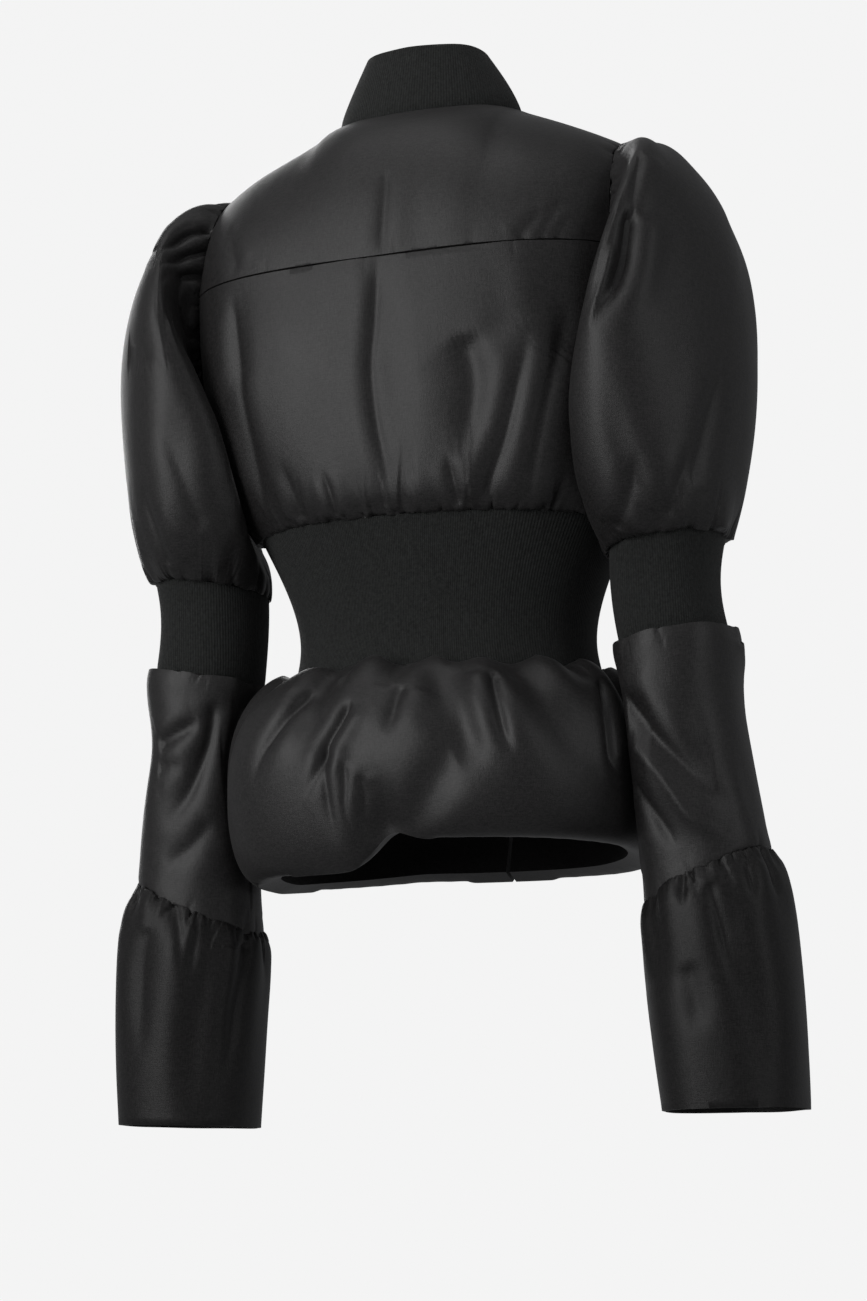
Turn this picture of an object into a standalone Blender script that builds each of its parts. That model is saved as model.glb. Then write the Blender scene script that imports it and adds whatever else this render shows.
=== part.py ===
"""Padded peplum jacket, worn shape, with no wearer inside.

The frame is in metres, +Z up. The jacket's front faces -Y and the wearer's left arm is at +X.
The origin is the middle of the neck, level with the collar seam at the centre back.

The torso is a stack of rounded sections. The back, yoke and fronts are patches of that one
surface, cut at their seams. Each sleeve is a run of rings that turns from the armhole down to
the hem. Every piece is a wall: outer points with gathers and folds over a plainer inside.
"""

import math
from collections import namedtuple

import bmesh
import bpy
import numpy as np

# ---------------------------------------------------------------- driving sizes (metres)
SEAM_GAP = 0.0003  # space left between two pieces at a seam
PADDED_WALL = 0.007  # satin, wadding and lining
SATIN_WALL = 0.0024  # lined satin of the lower sleeve
KNIT_WALL = 0.0028  # double rib knit
FRONT_OPENING = 0.0064  # between the two front edges, where the zip chain runs
PEPLUM_OPENING = 0.003  # between the two ends of the peplum
CHAIN_WIDTH, CHAIN_THICK, CHAIN_INSET = 0.0056, 0.0022, 0.0003  # the zip's closed teeth
SLIDER_HEIGHT, SLIDER_TOP, SLIDER_GAP = 0.0090, 0.0040, 0.0003  # below and above the chain's end
PULL_AXIS = -0.0045  # how far the pull's bar is from the chain's end, along the collar
PUFF_CLEARANCE = 0.0062  # from the upper sleeve to the body that it hangs beside
ARM_CLEARANCE = 0.0060  # and from the rest of the sleeve

WAIST_SEAM = -0.300  # top edge of the rib waistband
PEPLUM_SEAM = -0.415  # bottom edge of the rib waistband
UNDERARM = -0.197
BACK_NECK = (0.065, 0.021)  # depth and height of the collar seam, centre back
FRONT_NECK = (-0.078, -0.040)  # the same, centre front
NECK_SIDE = (0.075, 0.000, 0.030)  # where the shoulder seam meets the collar
COLLAR_HEIGHT = 0.056  # centre back
COLLAR_FRONT_HEIGHT = 0.036
COLLAR_DRAW_IN = (0.34, 0.24)  # how much its top closes round the neck: across, and at the back

ARMHOLE_CENTRE = (0.1700, 0.010, -0.1055)
ARMHOLE_HALF_HEIGHT = 0.0915
ARMHOLE_HALF_DEPTH = 0.058
ARMHOLE_LEAN = 0.006  # how far the top leans in, and the bottom out

LEAN_FORWARD = 0.030  # how far the hem stands in front of the neck, over LEAN_LENGTH
LEAN_ASIDE = 0.012  # and how far to the wearer's right
LEAN_LENGTH = 0.75
CHEST_SHIFT = 0.005  # how far the chest and upper arms stand to the wearer's left
SHOULDER_TILT = 0.028  # the left shoulder hangs this much lower per metre out, and the right higher
LEFT_DROP = 0.008  # the left sleeve hangs this much lower than the right

# ---------------------------------------------------------------- sections
Section = namedtuple("Section", "height half_width back front square")

TORSO = (
    Section(-0.300, 0.149, 0.099, 0.098, 2.2),
    Section(-0.288, 0.158, 0.109, 0.109, 2.3),
    Section(-0.255, 0.167, 0.115, 0.121, 2.7),
    Section(-0.197, 0.176, 0.118, 0.130, 3.1),
    Section(-0.150, 0.179, 0.117, 0.128, 3.3),
    Section(-0.105, 0.177, 0.113, 0.116, 3.2),
)

SHOULDERS = (  # only to keep the sleeves off the yoke
    Section(-0.060, 0.170, 0.104, 0.100, 2.6),
    Section(-0.020, 0.150, 0.075, 0.080, 2.2),
)

WAISTBAND = (
    Section(-0.415, 0.122, 0.098, 0.094, 2.1),
    Section(-0.398, 0.118, 0.093, 0.090, 2.1),
    Section(-0.375, 0.1165, 0.090, 0.088, 2.1),
    Section(-0.340, 0.127, 0.092, 0.090, 2.1),
    Section(-0.300, 0.147, 0.098, 0.096, 2.2),
)

PEPLUM = (  # the outside of the filled hem, from the seam down and round to the turn
    Section(-0.4155, 0.123, 0.099, 0.095, 2.1),
    Section(-0.4125, 0.132, 0.111, 0.105, 2.2),
    Section(-0.420, 0.145, 0.125, 0.118, 2.4),
    Section(-0.438, 0.156, 0.141, 0.134, 2.7),
    Section(-0.461, 0.162, 0.151, 0.144, 2.9),
    Section(-0.486, 0.164, 0.156, 0.149, 3.0),
    Section(-0.511, 0.163, 0.155, 0.148, 2.9),
    Section(-0.533, 0.161, 0.151, 0.145, 2.8),
    Section(-0.549, 0.156, 0.144, 0.138, 2.7),
    Section(-0.555, 0.147, 0.135, 0.129, 2.5),
)

PEPLUM_LINING = (
    Section(-0.4160, 0.1195, 0.0955, 0.0915, 2.1),
    Section(-0.430, 0.130, 0.111, 0.105, 2.3),
    Section(-0.460, 0.143, 0.131, 0.124, 2.7),
    Section(-0.500, 0.145, 0.136, 0.129, 2.8),
    Section(-0.530, 0.139, 0.128, 0.122, 2.5),
    Section(-0.5485, 0.132, 0.120, 0.114, 2.3),
)

# A ring of the left sleeve, by the ends of its width in the X-Z plane, its half depth in Y, the
# Y of its middle, and how far its back edge is turned in towards the spine, in degrees.
Ring = namedtuple("Ring", "outer_x outer_z inner_x inner_z depth middle turn")

UPPER_SLEEVE = (
    Ring(0.183, -0.015, 0.1790, -0.1970, 0.066, 0.011, 2),
    Ring(0.204, -0.024, 0.1800, -0.1985, 0.078, 0.016, 8),
    Ring(0.222, -0.050, 0.1780, -0.2040, 0.087, 0.024, 17),
    Ring(0.233, -0.090, 0.1720, -0.2130, 0.090, 0.031, 24),
    Ring(0.239, -0.137, 0.1620, -0.2290, 0.088, 0.036, 28),
    Ring(0.242, -0.188, 0.1510, -0.2520, 0.085, 0.039, 28),
    Ring(0.243, -0.239, 0.1430, -0.2810, 0.078, 0.038, 24),
    Ring(0.242, -0.283, 0.1400, -0.3080, 0.068, 0.034, 16),
    Ring(0.238, -0.312, 0.1420, -0.3250, 0.057, 0.028, 6),
    Ring(0.2315, -0.3180, 0.1450, -0.3290, 0.048, 0.025, 0),
)

# The left sleeve's head lies flatter: how far each ring's outer end comes in, and down.
LEFT_HEAD = ((0.0, 0.0), (0.0, 0.008), (0.004, 0.014), (-0.001, 0.010), (-0.001, 0.003))

ELBOW_BAND = (
    Ring(0.2310, -0.3185, 0.1455, -0.3295, 0.0475, 0.025, 0),
    Ring(0.2265, -0.3410, 0.1455, -0.3540, 0.0450, 0.026, 0),
    Ring(0.2265, -0.3660, 0.1475, -0.3790, 0.0450, 0.027, 0),
    Ring(0.2310, -0.3890, 0.1510, -0.4030, 0.0465, 0.026, 0),
)

LOWER_SLEEVE = (
    Ring(0.2312, -0.3895, 0.1508, -0.4035, 0.0467, 0.026, 0),
    Ring(0.2385, -0.3910, 0.1450, -0.4050, 0.0515, 0.026, 0),
    Ring(0.2400, -0.4080, 0.1475, -0.4220, 0.0515, 0.026, 0),
    Ring(0.2370, -0.4380, 0.1500, -0.4550, 0.0495, 0.025, 0),
    Ring(0.2420, -0.4720, 0.1500, -0.4930, 0.0480, 0.024, 0),
    Ring(0.2480, -0.5060, 0.1560, -0.5320, 0.0470, 0.023, 0),
    Ring(0.2520, -0.5360, 0.1600, -0.5660, 0.0460, 0.021, 0),
    Ring(0.2550, -0.5530, 0.1600, -0.5960, 0.0490, 0.018, 0),
)

CUFF = (
    Ring(0.2553, -0.5536, 0.1602, -0.5966, 0.0492, 0.018, 0),
    Ring(0.2640, -0.5670, 0.1580, -0.6070, 0.0560, 0.018, 0),
    Ring(0.2700, -0.5950, 0.1580, -0.6260, 0.0590, 0.018, 0),
    Ring(0.2730, -0.6350, 0.1600, -0.6540, 0.0600, 0.018, 0),
    Ring(0.2750, -0.6850, 0.1620, -0.6960, 0.0600, 0.018, 0),
    Ring(0.2735, -0.7410, 0.1680, -0.7430, 0.0590, 0.018, 0),
)

# A run of gathers along a seam: how many round the whole edge, how deep, how far they reach
# from the seam in metres, and a phase that shifts their uneven spacing.
Gathers = namedtuple("Gathers", "count depth reach phase")

PEPLUM_GATHERS = Gathers(18, 0.0060, 0.038, 0.3)
WAIST_GATHERS = Gathers(18, 0.0028, 0.030, 1.1)
HEAD_GATHERS = Gathers(10, 0.0026, 0.036, 0.6)
PUFF_GATHERS = Gathers(9, 0.0028, 0.026, 2.0)
LOWER_GATHERS = Gathers(8, 0.0014, 0.014, 0.9)
CUFF_GATHERS = Gathers(10, 0.0030, 0.036, 1.7)

# A single fold across a tube or panel. Its ends are an angle round the tube in degrees, or a
# share across the panel in hundredths, and a share of the height from the first seam. A trough
# has a negative depth.
Fold = namedtuple("Fold", "place height end_place end_height width depth")

PEPLUM_FOLDS = (
    Fold(103, 0.10, 116, 0.62, 0.015, -0.011),
    Fold(66, 0.05, 72, 0.45, 0.012, -0.009),
    Fold(40, 0.05, 32, 0.60, 0.014, -0.010),
    Fold(128, 0.08, 142, 0.60, 0.016, -0.008),
    Fold(112, 0.55, 96, 0.98, 0.013, -0.008),
    Fold(89, 0.78, 89, 1.05, 0.012, -0.012),
    Fold(8, 0.05, 2, 0.50, 0.015, -0.008),
    Fold(168, 0.05, 176, 0.55, 0.015, -0.008),
    Fold(-28, 0.05, -22, 0.55, 0.016, -0.009),
    Fold(-62, 0.05, -56, 0.50, 0.014, -0.008),
    Fold(-118, 0.05, -124, 0.55, 0.015, -0.009),
    Fold(-152, 0.05, -146, 0.50, 0.014, -0.008),
)

BACK_FOLDS = (  # heights run from the waist seam up to the yoke seam
    Fold(-3, 1.00, -4, 0.25, 0.012, -0.0035),
    Fold(62, 0.85, 50, 0.10, 0.013, -0.0035),
    Fold(-52, 0.80, -38, 0.10, 0.013, -0.0035),
    Fold(-74, 0.85, -56, 0.10, 0.013, -0.0035),
    Fold(-22, 0.62, -20, 0.30, 0.026, -0.0050),
)

UPPER_FOLDS = {
    "left": (
        Fold(100, 0.14, 70, 0.36, 0.012, -0.004),
        Fold(60, 0.52, 110, 0.72, 0.016, -0.004),
    ),
    "right": (
        Fold(95, 0.10, 128, 0.34, 0.014, -0.007),
        Fold(70, 0.70, 78, 0.96, 0.012, -0.004),
    ),
}

LOWER_FOLDS = {
    "left": (
        Fold(10, 0.42, 95, 0.20, 0.010, -0.0050),
        Fold(30, 0.62, 100, 0.44, 0.014, 0.0040),
    ),
    "right": (
        Fold(160, 0.18, 20, 0.72, 0.010, -0.0055),
        Fold(160, 0.34, 30, 0.90, 0.013, 0.0045),
    ),
}

CUFF_FOLDS = {
    "left": (Fold(125, 0.15, 112, 0.95, 0.012, -0.006), Fold(75, 0.12, 70, 0.50, 0.010, -0.004)),
    "right": (Fold(72, 0.10, 50, 0.75, 0.012, -0.006), Fold(120, 0.10, 124, 0.40, 0.010, -0.004)),
}

COLOURS = {
    "satin": ((0.012, 0.012, 0.013), 0.36, 0.0),
    "rib_knit": ((0.014, 0.016, 0.016), 0.85, 0.0),
    "zip_metal": ((0.10, 0.10, 0.105), 0.35, 1.0),
}


# ---------------------------------------------------------------- reading the tables
def spline(values, at):
    """Values at whole numbers 0, 1, 2..., read at any place by a Catmull-Rom curve."""
    values = np.asarray(values, float)
    last = len(values) - 1
    at = np.clip(np.asarray(at, float), 0, last)
    low = np.minimum(at.astype(int), last - 1)
    share = at - low
    before = values[np.maximum(low - 1, 0)]
    start, end = values[low], values[low + 1]
    after = values[np.minimum(low + 2, last)]
    slope_in, slope_out = (end - before) / 2, (after - start) / 2
    square, cube = share**2, share**3
    return (
        start * (2 * cube - 3 * square + 1)
        + slope_in * (cube - 2 * square + share)
        + end * (3 * square - 2 * cube)
        + slope_out * (cube - square)
    )


def read(table, column, at):
    return spline([getattr(row, column) for row in table], at)


def place_of_height(table, height):
    """Where a height falls between the rows of a table whose heights run one way."""
    heights = [row.height for row in table]
    order = np.argsort(heights)
    return np.interp(height, np.array(heights)[order], np.arange(len(table))[order])


def lean(points):
    """The stance: the body leans forward and a little aside towards the hem."""
    points = np.array(points, float)
    points[..., 2] -= SHOULDER_TILT * points[..., 0] * np.clip(1 + points[..., 2] / 0.3, 0, 1)
    share = points[..., 2] / LEAN_LENGTH
    points[..., 0] += LEAN_ASIDE * share + CHEST_SHIFT * np.exp(-(((points[..., 2] + 0.15) / 0.09) ** 2))
    points[..., 1] += LEAN_FORWARD * share
    return points


# ---------------------------------------------------------------- surfaces
def section_point(half_width, depth, square, angle):
    """A point of a rounded section. Angle 0 is at +X and 90 degrees at the back."""
    cosine, sine = np.cos(angle), np.sin(angle)
    x = half_width * np.sign(cosine) * np.abs(cosine) ** (2 / square)
    y = depth * np.sign(sine) * np.abs(sine) ** (2 / square)
    return x, y


def even_arc(half_width, depth, square, shares):
    """Points at even shares of the length of a quarter section, from the depth's end to the side."""
    angle = np.linspace(math.pi / 2, 0, 241)
    x, y = section_point(half_width, depth, square, angle)
    length = np.concatenate([[0], np.cumsum(np.hypot(np.diff(x), np.diff(y)))])
    return np.interp(shares, length / length[-1], x), np.interp(shares, length / length[-1], y)


def stack(table, places, angles):
    """Sections of a table at the given places. Each quarter turn is one evenly spaced quarter."""
    turn = (angles + math.pi) % (2 * math.pi) - math.pi
    share = 1 - np.abs(np.abs(turn) - math.pi / 2) / (math.pi / 2)
    rows = []
    for place in places:
        half_width, square = read(table, "half_width", place), read(table, "square", place)
        x, back = even_arc(half_width, read(table, "back", place), square, 1 - share)
        x_front, front = even_arc(half_width, read(table, "front", place), square, 1 - share)
        x = np.where(turn >= 0, x, x_front) * np.where(np.abs(turn) <= math.pi / 2, 1, -1)
        y = np.where(turn >= 0, back, -front)
        z = np.full_like(x, float(read(table, "height", place)))
        rows.append(np.stack([x, y, z], axis=-1))
    return np.array(rows)


def armhole(angle):
    """The armhole ring of the left side. Angle 0 is the shoulder point, 90 degrees the back."""
    up, back = np.cos(angle), np.sin(angle)
    return np.stack(
        [
            ARMHOLE_CENTRE[0] - ARMHOLE_LEAN * up,
            ARMHOLE_CENTRE[1] + ARMHOLE_HALF_DEPTH * back,
            ARMHOLE_CENTRE[2] + ARMHOLE_HALF_HEIGHT * up,
        ],
        axis=-1,
    )


def body_row(level, across, side):
    """One row of the back (side 1) or front (side -1), from the centre (across 0) to the edge.

    Level 0 is the waist seam, 1 the underarm and 2 the yoke line at the armhole's widest.
    """
    low = min(level, 1.0)
    height = WAIST_SEAM + (UNDERARM - WAIST_SEAM) * low
    edge_angle = math.pi - max(level - 1, 0) * math.pi / 2
    if level > 1:
        edge = armhole(np.array(edge_angle * side))
        height = edge[2]
    place = place_of_height(TORSO, height)
    half_width = read(TORSO, "half_width", place)
    depth = read(TORSO, "back" if side > 0 else "front", place)
    square = read(TORSO, "square", place)
    shares = np.linspace(0, 1, 241)
    arc_x, arc_y = even_arc(half_width, depth, square, shares)
    if level > 1:
        reach = np.argmin((arc_x - edge[0]) ** 2 + (arc_y - edge[1] * side) ** 2)
    else:
        reach = 240
        edge = np.array([half_width, ARMHOLE_CENTRE[1] * side * low, height])
    x = np.interp(across * shares[reach], shares, arc_x)
    y = np.interp(across * shares[reach], shares, arc_y)
    x, y = x + (edge[0] - arc_x[reach]) * across**3, y + (edge[1] * side - arc_y[reach]) * across**3
    return np.stack([x, y * side, np.full_like(x, height)], axis=-1)


def top_row(across, side):
    """The neckline from the centre to the shoulder seam, then the shoulder seam to the armhole."""
    neck_share = 0.46
    depth, height = BACK_NECK if side > 0 else FRONT_NECK
    turn = np.clip(across / neck_share, 0, 1) * math.pi / 2
    neck = np.stack(
        [
            NECK_SIDE[0] * np.sin(turn),
            NECK_SIDE[1] + (depth - NECK_SIDE[1]) * np.cos(turn),
            NECK_SIDE[2] + (height - NECK_SIDE[2]) * np.cos(turn) ** 1.6,
        ],
        axis=-1,
    )
    run = np.clip((across - neck_share) / (1 - neck_share), 0, 1)[:, None]
    start, end = np.array(NECK_SIDE), armhole(np.array(0.0))
    bow = np.array([0, 0, 0.001]) * (run * (1 - run)) * 4
    shoulder = start + (end - start) * run + bow
    return np.where((across <= neck_share)[:, None], neck, shoulder)


def over_shoulder(rise, across, side):
    """From the yoke line (rise 0) over the shoulder to the neckline and shoulder seam (rise 1)."""
    kappa = 0.5523
    start, end = body_row(2.0, across, side), top_row(across, side)
    up = kappa * (end[:, 2] - start[:, 2])
    out = kappa * (start[:, 1] - end[:, 1])
    first, second = start.copy(), end.copy()
    first[:, 2] += up
    second[:, 1] += out
    second[:, 2] -= 0.25 * up * (1 - across)
    keep = 1 - rise
    row = start * keep**3 + first * 3 * keep**2 * rise + second * 3 * keep * rise**2 + end * rise**3
    edge = np.argmax(across)  # the armhole's edge lies in the sleeve's first plane
    plane = ARMHOLE_CENTRE[0] - ARMHOLE_LEAN * (row[edge, 2] - ARMHOLE_CENTRE[2]) / ARMHOLE_HALF_HEIGHT
    if across[edge] > 0.9:
        row[:, 0] += (plane - row[edge, 0]) * across**3
    return row


def body_patch(levels, across, side):
    """Levels 0 to 2 are up to the yoke line, and 2 to 3 are over the shoulder."""
    rows = []
    for level in levels:
        share = np.abs(across)
        if level <= 2:
            row = body_row(level, share, side)
        else:
            row = over_shoulder(level - 2, share, side)
        row[:, 0] *= np.where(across < 0, -1, 1)
        rows.append(row)
    return np.array(rows)


def rings(table, places, angles):
    """Rings of the left sleeve. Angle 0 is the outer end of a ring, 90 degrees its back."""
    rows = []
    for place in places:
        outer = np.array([read(table, "outer_x", place), 0, read(table, "outer_z", place)])
        inner = np.array([read(table, "inner_x", place), 0, read(table, "inner_z", place)])
        depth = read(table, "depth", place)
        turn = math.radians(read(table, "turn", place))
        middle = (outer + inner) / 2 + np.array([0, read(table, "middle", place), 0])
        across = (outer - inner) / 2
        across[1] += np.linalg.norm(across) * math.sin(turn)
        back = depth * np.array([-math.sin(turn), math.cos(turn), 0])
        cosine, sine = section_point(1.0, 1.0, 2.25, angles)
        rows.append(middle + cosine[:, None] * across + sine[:, None] * back)
    return np.array(rows)


def clear_of_body(points, clearance):
    """Sleeve points pushed out to a clearance from the torso, waistband and peplum."""
    points = points.copy()
    flat = points.reshape(-1, 3)
    for point in flat:
        x, y, z = point
        if z > SHOULDERS[-1].height:
            continue
        table = TORSO + SHOULDERS if z > WAIST_SEAM else WAISTBAND if z > PEPLUM_SEAM + 0.004 else PEPLUM[1:]
        if z < PEPLUM[-1].height - 0.004:
            continue
        place = place_of_height(table, z)
        half_width = read(table, "half_width", place) + clearance
        depth = read(table, "back" if y > 0 else "front", place) + clearance
        square = read(table, "square", place)
        size = (abs(x / half_width) ** square + abs(y / depth) ** square) ** (1 / square)
        soft = 0.02
        wanted = 1 + 0.5 * (size - 1 + math.sqrt((size - 1) ** 2 + soft**2)) - 0.5 * soft
        if size < 1:
            wanted = max(wanted, 1.0)
            point[0], point[1] = x * wanted / size, y * wanted / size
    return points


# ---------------------------------------------------------------- relief
def normals(grid, closed):
    """Unit normals of a grid of points, by differences along its rows and columns."""
    if closed:
        along = np.roll(grid, -1, axis=1) - np.roll(grid, 1, axis=1)
    else:
        along = np.gradient(grid, axis=1)
    down = np.gradient(grid, axis=0)
    cross = np.cross(along, down)
    return cross / np.maximum(np.linalg.norm(cross, axis=-1, keepdims=True), 1e-12)


def outward(grid, closed, centre_line):
    """Normals turned so that they point away from a centre line, given row by row."""
    found = normals(grid, closed)
    away = grid - centre_line[:, None, :]
    return found if np.sum(found * away) > 0 else -found


def uneven_wave(angle, gathers):
    """A run of rounded ridges and narrow troughs, from -1 to 1, unevenly spaced."""
    drift = 0.55 * np.sin(2 * angle + gathers.phase) + 0.35 * np.sin(3 * angle + 2.1 * gathers.phase)
    wave = np.cos(gathers.count * angle + drift * 2.2)
    strength = 0.72 + 0.28 * np.sin(5 * angle + gathers.phase)
    return (1 - 2 * np.abs(np.sin((np.arccos(np.clip(wave, -1, 1))) / 2)) ** 3) * strength


def gather_relief(angles, distance, gathers):
    """Relief of gathers at each row's distance from the seam."""
    fade = np.exp(-((np.asarray(distance) / gathers.reach) ** 2))
    return gathers.depth * fade[:, None] * uneven_wave(angles, gathers)[None, :]


def fold_relief(places, heights, scale, folds, closed):
    """Relief of single folds, on a grid of places across and shares of height.

    The scale turns a place's unit, a degree or a hundredth of the panel, into metres.
    """
    relief = np.zeros((len(heights), len(places)))
    for fold in folds:
        run = (heights - fold.height) / (fold.end_height - fold.height)
        middle = fold.place + (fold.end_place - fold.place) * np.clip(run, -0.3, 1.3)
        window = np.clip(np.minimum(run + 0.25, 1.25 - run) / 0.5, 0, 1)
        window = window * window * (3 - 2 * window)
        away = places[None, :] - middle[:, None]
        if closed:
            away = (away + 180) % 360 - 180
        relief += fold.depth * window[:, None] * np.exp(-((away * scale / fold.width) ** 2))
    return relief


# ---------------------------------------------------------------- solids
def strip(bm, first, second):
    """Triangles and quads between two runs of vertices that may differ in number."""
    i = j = 0
    while i < len(first) - 1 or j < len(second) - 1:
        ahead_first = (i + 1) / (len(first) - 1) if i < len(first) - 1 else 2
        ahead_second = (j + 1) / (len(second) - 1) if j < len(second) - 1 else 2
        if abs(ahead_first - ahead_second) < 1e-9:
            bm.faces.new((first[i], first[i + 1], second[j + 1], second[j]))
            i, j = i + 1, j + 1
        elif ahead_first < ahead_second:
            bm.faces.new((first[i], first[i + 1], second[j]))
            i += 1
        else:
            bm.faces.new((first[i], second[j + 1], second[j]))
            j += 1


def wall(name, outer, inner, closed, material):
    """A closed solid between an outer and an inner grid of points."""
    bm = bmesh.new()
    grids = []
    for grid in (lean(outer), lean(inner)):
        rows = [[bm.verts.new(point) for point in row] for row in grid]
        if closed:
            rows = [row + row[:1] for row in rows]
        for above, below in zip(rows, rows[1:]):
            for k in range(len(above) - 1):
                bm.faces.new((above[k], above[k + 1], below[k + 1], below[k]))
        grids.append(rows)
    outside, inside = grids
    strip(bm, outside[0], inside[0])
    strip(bm, outside[-1], inside[-1])
    if not closed:
        strip(bm, [row[0] for row in outside], [row[0] for row in inside])
        strip(bm, [row[-1] for row in outside], [row[-1] for row in inside])
    bmesh.ops.recalc_face_normals(bm, faces=bm.faces)
    return finish(name, bm, material)


def finish(name, bm, material):
    mesh = bpy.data.meshes.new(name)
    bm.to_mesh(mesh)
    bm.free()
    mesh.shade_smooth()
    mesh.set_sharp_from_angle(angle=math.radians(50))
    mesh.materials.append(material)
    thing = bpy.data.objects.new(name, mesh)
    bpy.context.scene.collection.objects.link(thing)
    return thing


def along_ends(facing, grid, closed):
    """Normals with the first and last rows' kept in the plane of the seam, so that walls meet."""
    facing = facing.copy()
    for k in (0, -1):
        row = grid[k] - grid[k].mean(axis=0)
        plane = np.cross(row, np.roll(row, -1, axis=0)).sum(axis=0)
        tangent = np.roll(row, -1, axis=0) - np.roll(row, 1, axis=0) if closed else np.gradient(row, axis=0)
        out = np.cross(tangent, plane)
        out /= np.linalg.norm(out, axis=1, keepdims=True)
        facing[k] = out if np.sum(out * row) > 0 else -out
    return facing


def mirrored(grid):
    """The same grid on the other side of the body."""
    flipped = grid.copy()
    flipped[..., 0] *= -1
    return flipped


def row_lengths(grid):
    """How far each row is from the first, along the grid's middle column."""
    steps = np.linalg.norm(np.diff(grid, axis=0), axis=-1).mean(axis=1)
    return np.concatenate([[0], np.cumsum(steps)])


def centres(grid):
    return grid.mean(axis=1)


# ---------------------------------------------------------------- the pieces
def body_panel(name, levels, across, side, material, reliefs=()):
    """One panel of the body between two levels and two shares across."""
    form = body_patch(levels, across, side)
    if across.min() * across.max() > 0:  # a front, whose first edge is straight
        form[:, 0, 0] = FRONT_OPENING / 2 * np.sign(across[0])
    axis = np.stack([np.zeros(len(levels)), np.zeros(len(levels)), form[:, :, 2].min(axis=1) - 0.02], -1)
    facing = outward(form, False, axis)
    raised = np.zeros(form.shape[:2])
    for relief in reliefs:
        raised += relief(form)
    sideways = facing.copy()
    sideways[..., 2] *= 0.2
    level = along_ends(facing, form, False)
    facing[0] = level[0]
    if levels[-1] < 2:
        facing[-1] = level[-1]
    else:
        facing[-1, np.abs(across) > 0.44, 1] = 0
    for k in (0, -1):
        if abs(across[k]) > 0.9:
            facing[:, k, 1] = 0
    facing /= np.linalg.norm(facing, axis=-1, keepdims=True)
    inner = form - facing * PADDED_WALL
    wall(name, form + sideways * raised[..., None], inner[thinned(len(levels))][:, ::2], False, material)


def thinned(count):
    """Every second row, keeping the first and the last."""
    return sorted(set(range(0, count, 2)) | {count - 1})


def make_body(satin):
    edge = 1 - SEAM_GAP / 0.25
    whole = np.linspace(-edge, edge, 45)
    low = np.array([0.0015, 0.10, 0.24, 0.52, 1.0])
    levels = np.concatenate([low, [1.32, 1.66, 2.0 - 0.003]])

    def waist(form):
        angles = np.arctan2(form[0, :, 1], form[0, :, 0])
        return gather_relief(angles, row_lengths(form), WAIST_GATHERS)

    def back_folds(form):
        length = row_lengths(form)
        return fold_relief(whole * 100, length / length[-1], 0.0019, BACK_FOLDS, False)

    body_panel("back_panel", levels, whole, 1, satin, (waist, back_folds))
    yoke_levels = np.concatenate([[2.003], np.linspace(2.14, 2.9985, 6)])
    body_panel("back_yoke", yoke_levels, np.linspace(-edge, edge, 33), 1, satin)
    front_levels = np.concatenate([low, [1.4, 1.8], np.linspace(2.15, 2.9985, 5)])
    start = FRONT_OPENING / 2 / 0.16
    for name, sign in (("front_left", 1), ("front_right", -1)):
        body_panel(name, front_levels, np.linspace(start, edge, 21) * sign, -1, satin, (waist,))


def open_ring_angles(opening, half_width, count):
    """Angles round a ring that is open at the centre front (-90 degrees)."""
    half_gap = opening / 2 / half_width
    return np.linspace(-math.pi / 2 + half_gap, 1.5 * math.pi - half_gap, count)


def make_waistband(knit):
    angles = open_ring_angles(FRONT_OPENING, 0.118, 49)
    places = np.linspace(0.008, len(WAISTBAND) - 1 - 0.004, 6)
    outer = stack(WAISTBAND, places, angles)
    outer[:, 0, 0], outer[:, -1, 0] = FRONT_OPENING / 2, -FRONT_OPENING / 2
    facing = outward(outer, False, centres(outer) * [0, 0, 1])
    facing = along_ends(facing, outer, False)
    wall("waistband", outer, (outer - facing * KNIT_WALL)[:, ::2], False, knit)


def hem_drop(angles):
    """How far the peplum's hem hangs below its even line: lower on the wearer's left."""
    turn = np.degrees(angles)
    step = 0.5 + 0.5 * np.tanh((87 - turn) / 5)
    near = np.clip((turn + 60) / 60, 0, 1) * np.clip((230 - turn) / 60, 0, 1)
    pucker = np.exp(-(((turn - 91) / 6) ** 2))
    return near * (0.022 * step - 0.006 - 0.008 * pucker)


def make_peplum(satin):
    angles = open_ring_angles(PEPLUM_OPENING, 0.15, 97)
    places = np.concatenate([[0, 0.9], np.linspace(1.6, len(PEPLUM) - 1, 10)])
    form = stack(PEPLUM, places, angles)
    form[:, 0, 0], form[:, -1, 0] = PEPLUM_OPENING / 2, -PEPLUM_OPENING / 2
    facing = outward(form, False, centres(form) * [0, 0, 1])
    length = row_lengths(form)
    heights = length / length[-1]
    relief = gather_relief(angles, length - length[1], PEPLUM_GATHERS)
    relief += fold_relief(np.degrees(angles), heights, 0.0026, PEPLUM_FOLDS, True)
    relief[0] = 0
    relief[-1] *= 0.3
    outer = form + facing * relief[..., None]
    outer[..., 2] -= heights[:, None] ** 2 * hem_drop(angles)
    lining = stack(PEPLUM_LINING, np.linspace(0, len(PEPLUM_LINING) - 1, 6), angles[::2])
    lining[:, 0, 0], lining[:, -1, 0] = PEPLUM_OPENING / 2, -PEPLUM_OPENING / 2
    lining[..., 2] -= np.linspace(0, 1, 6)[:, None] ** 2 * hem_drop(angles[::2])
    wall("peplum", outer, lining, False, satin)


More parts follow.
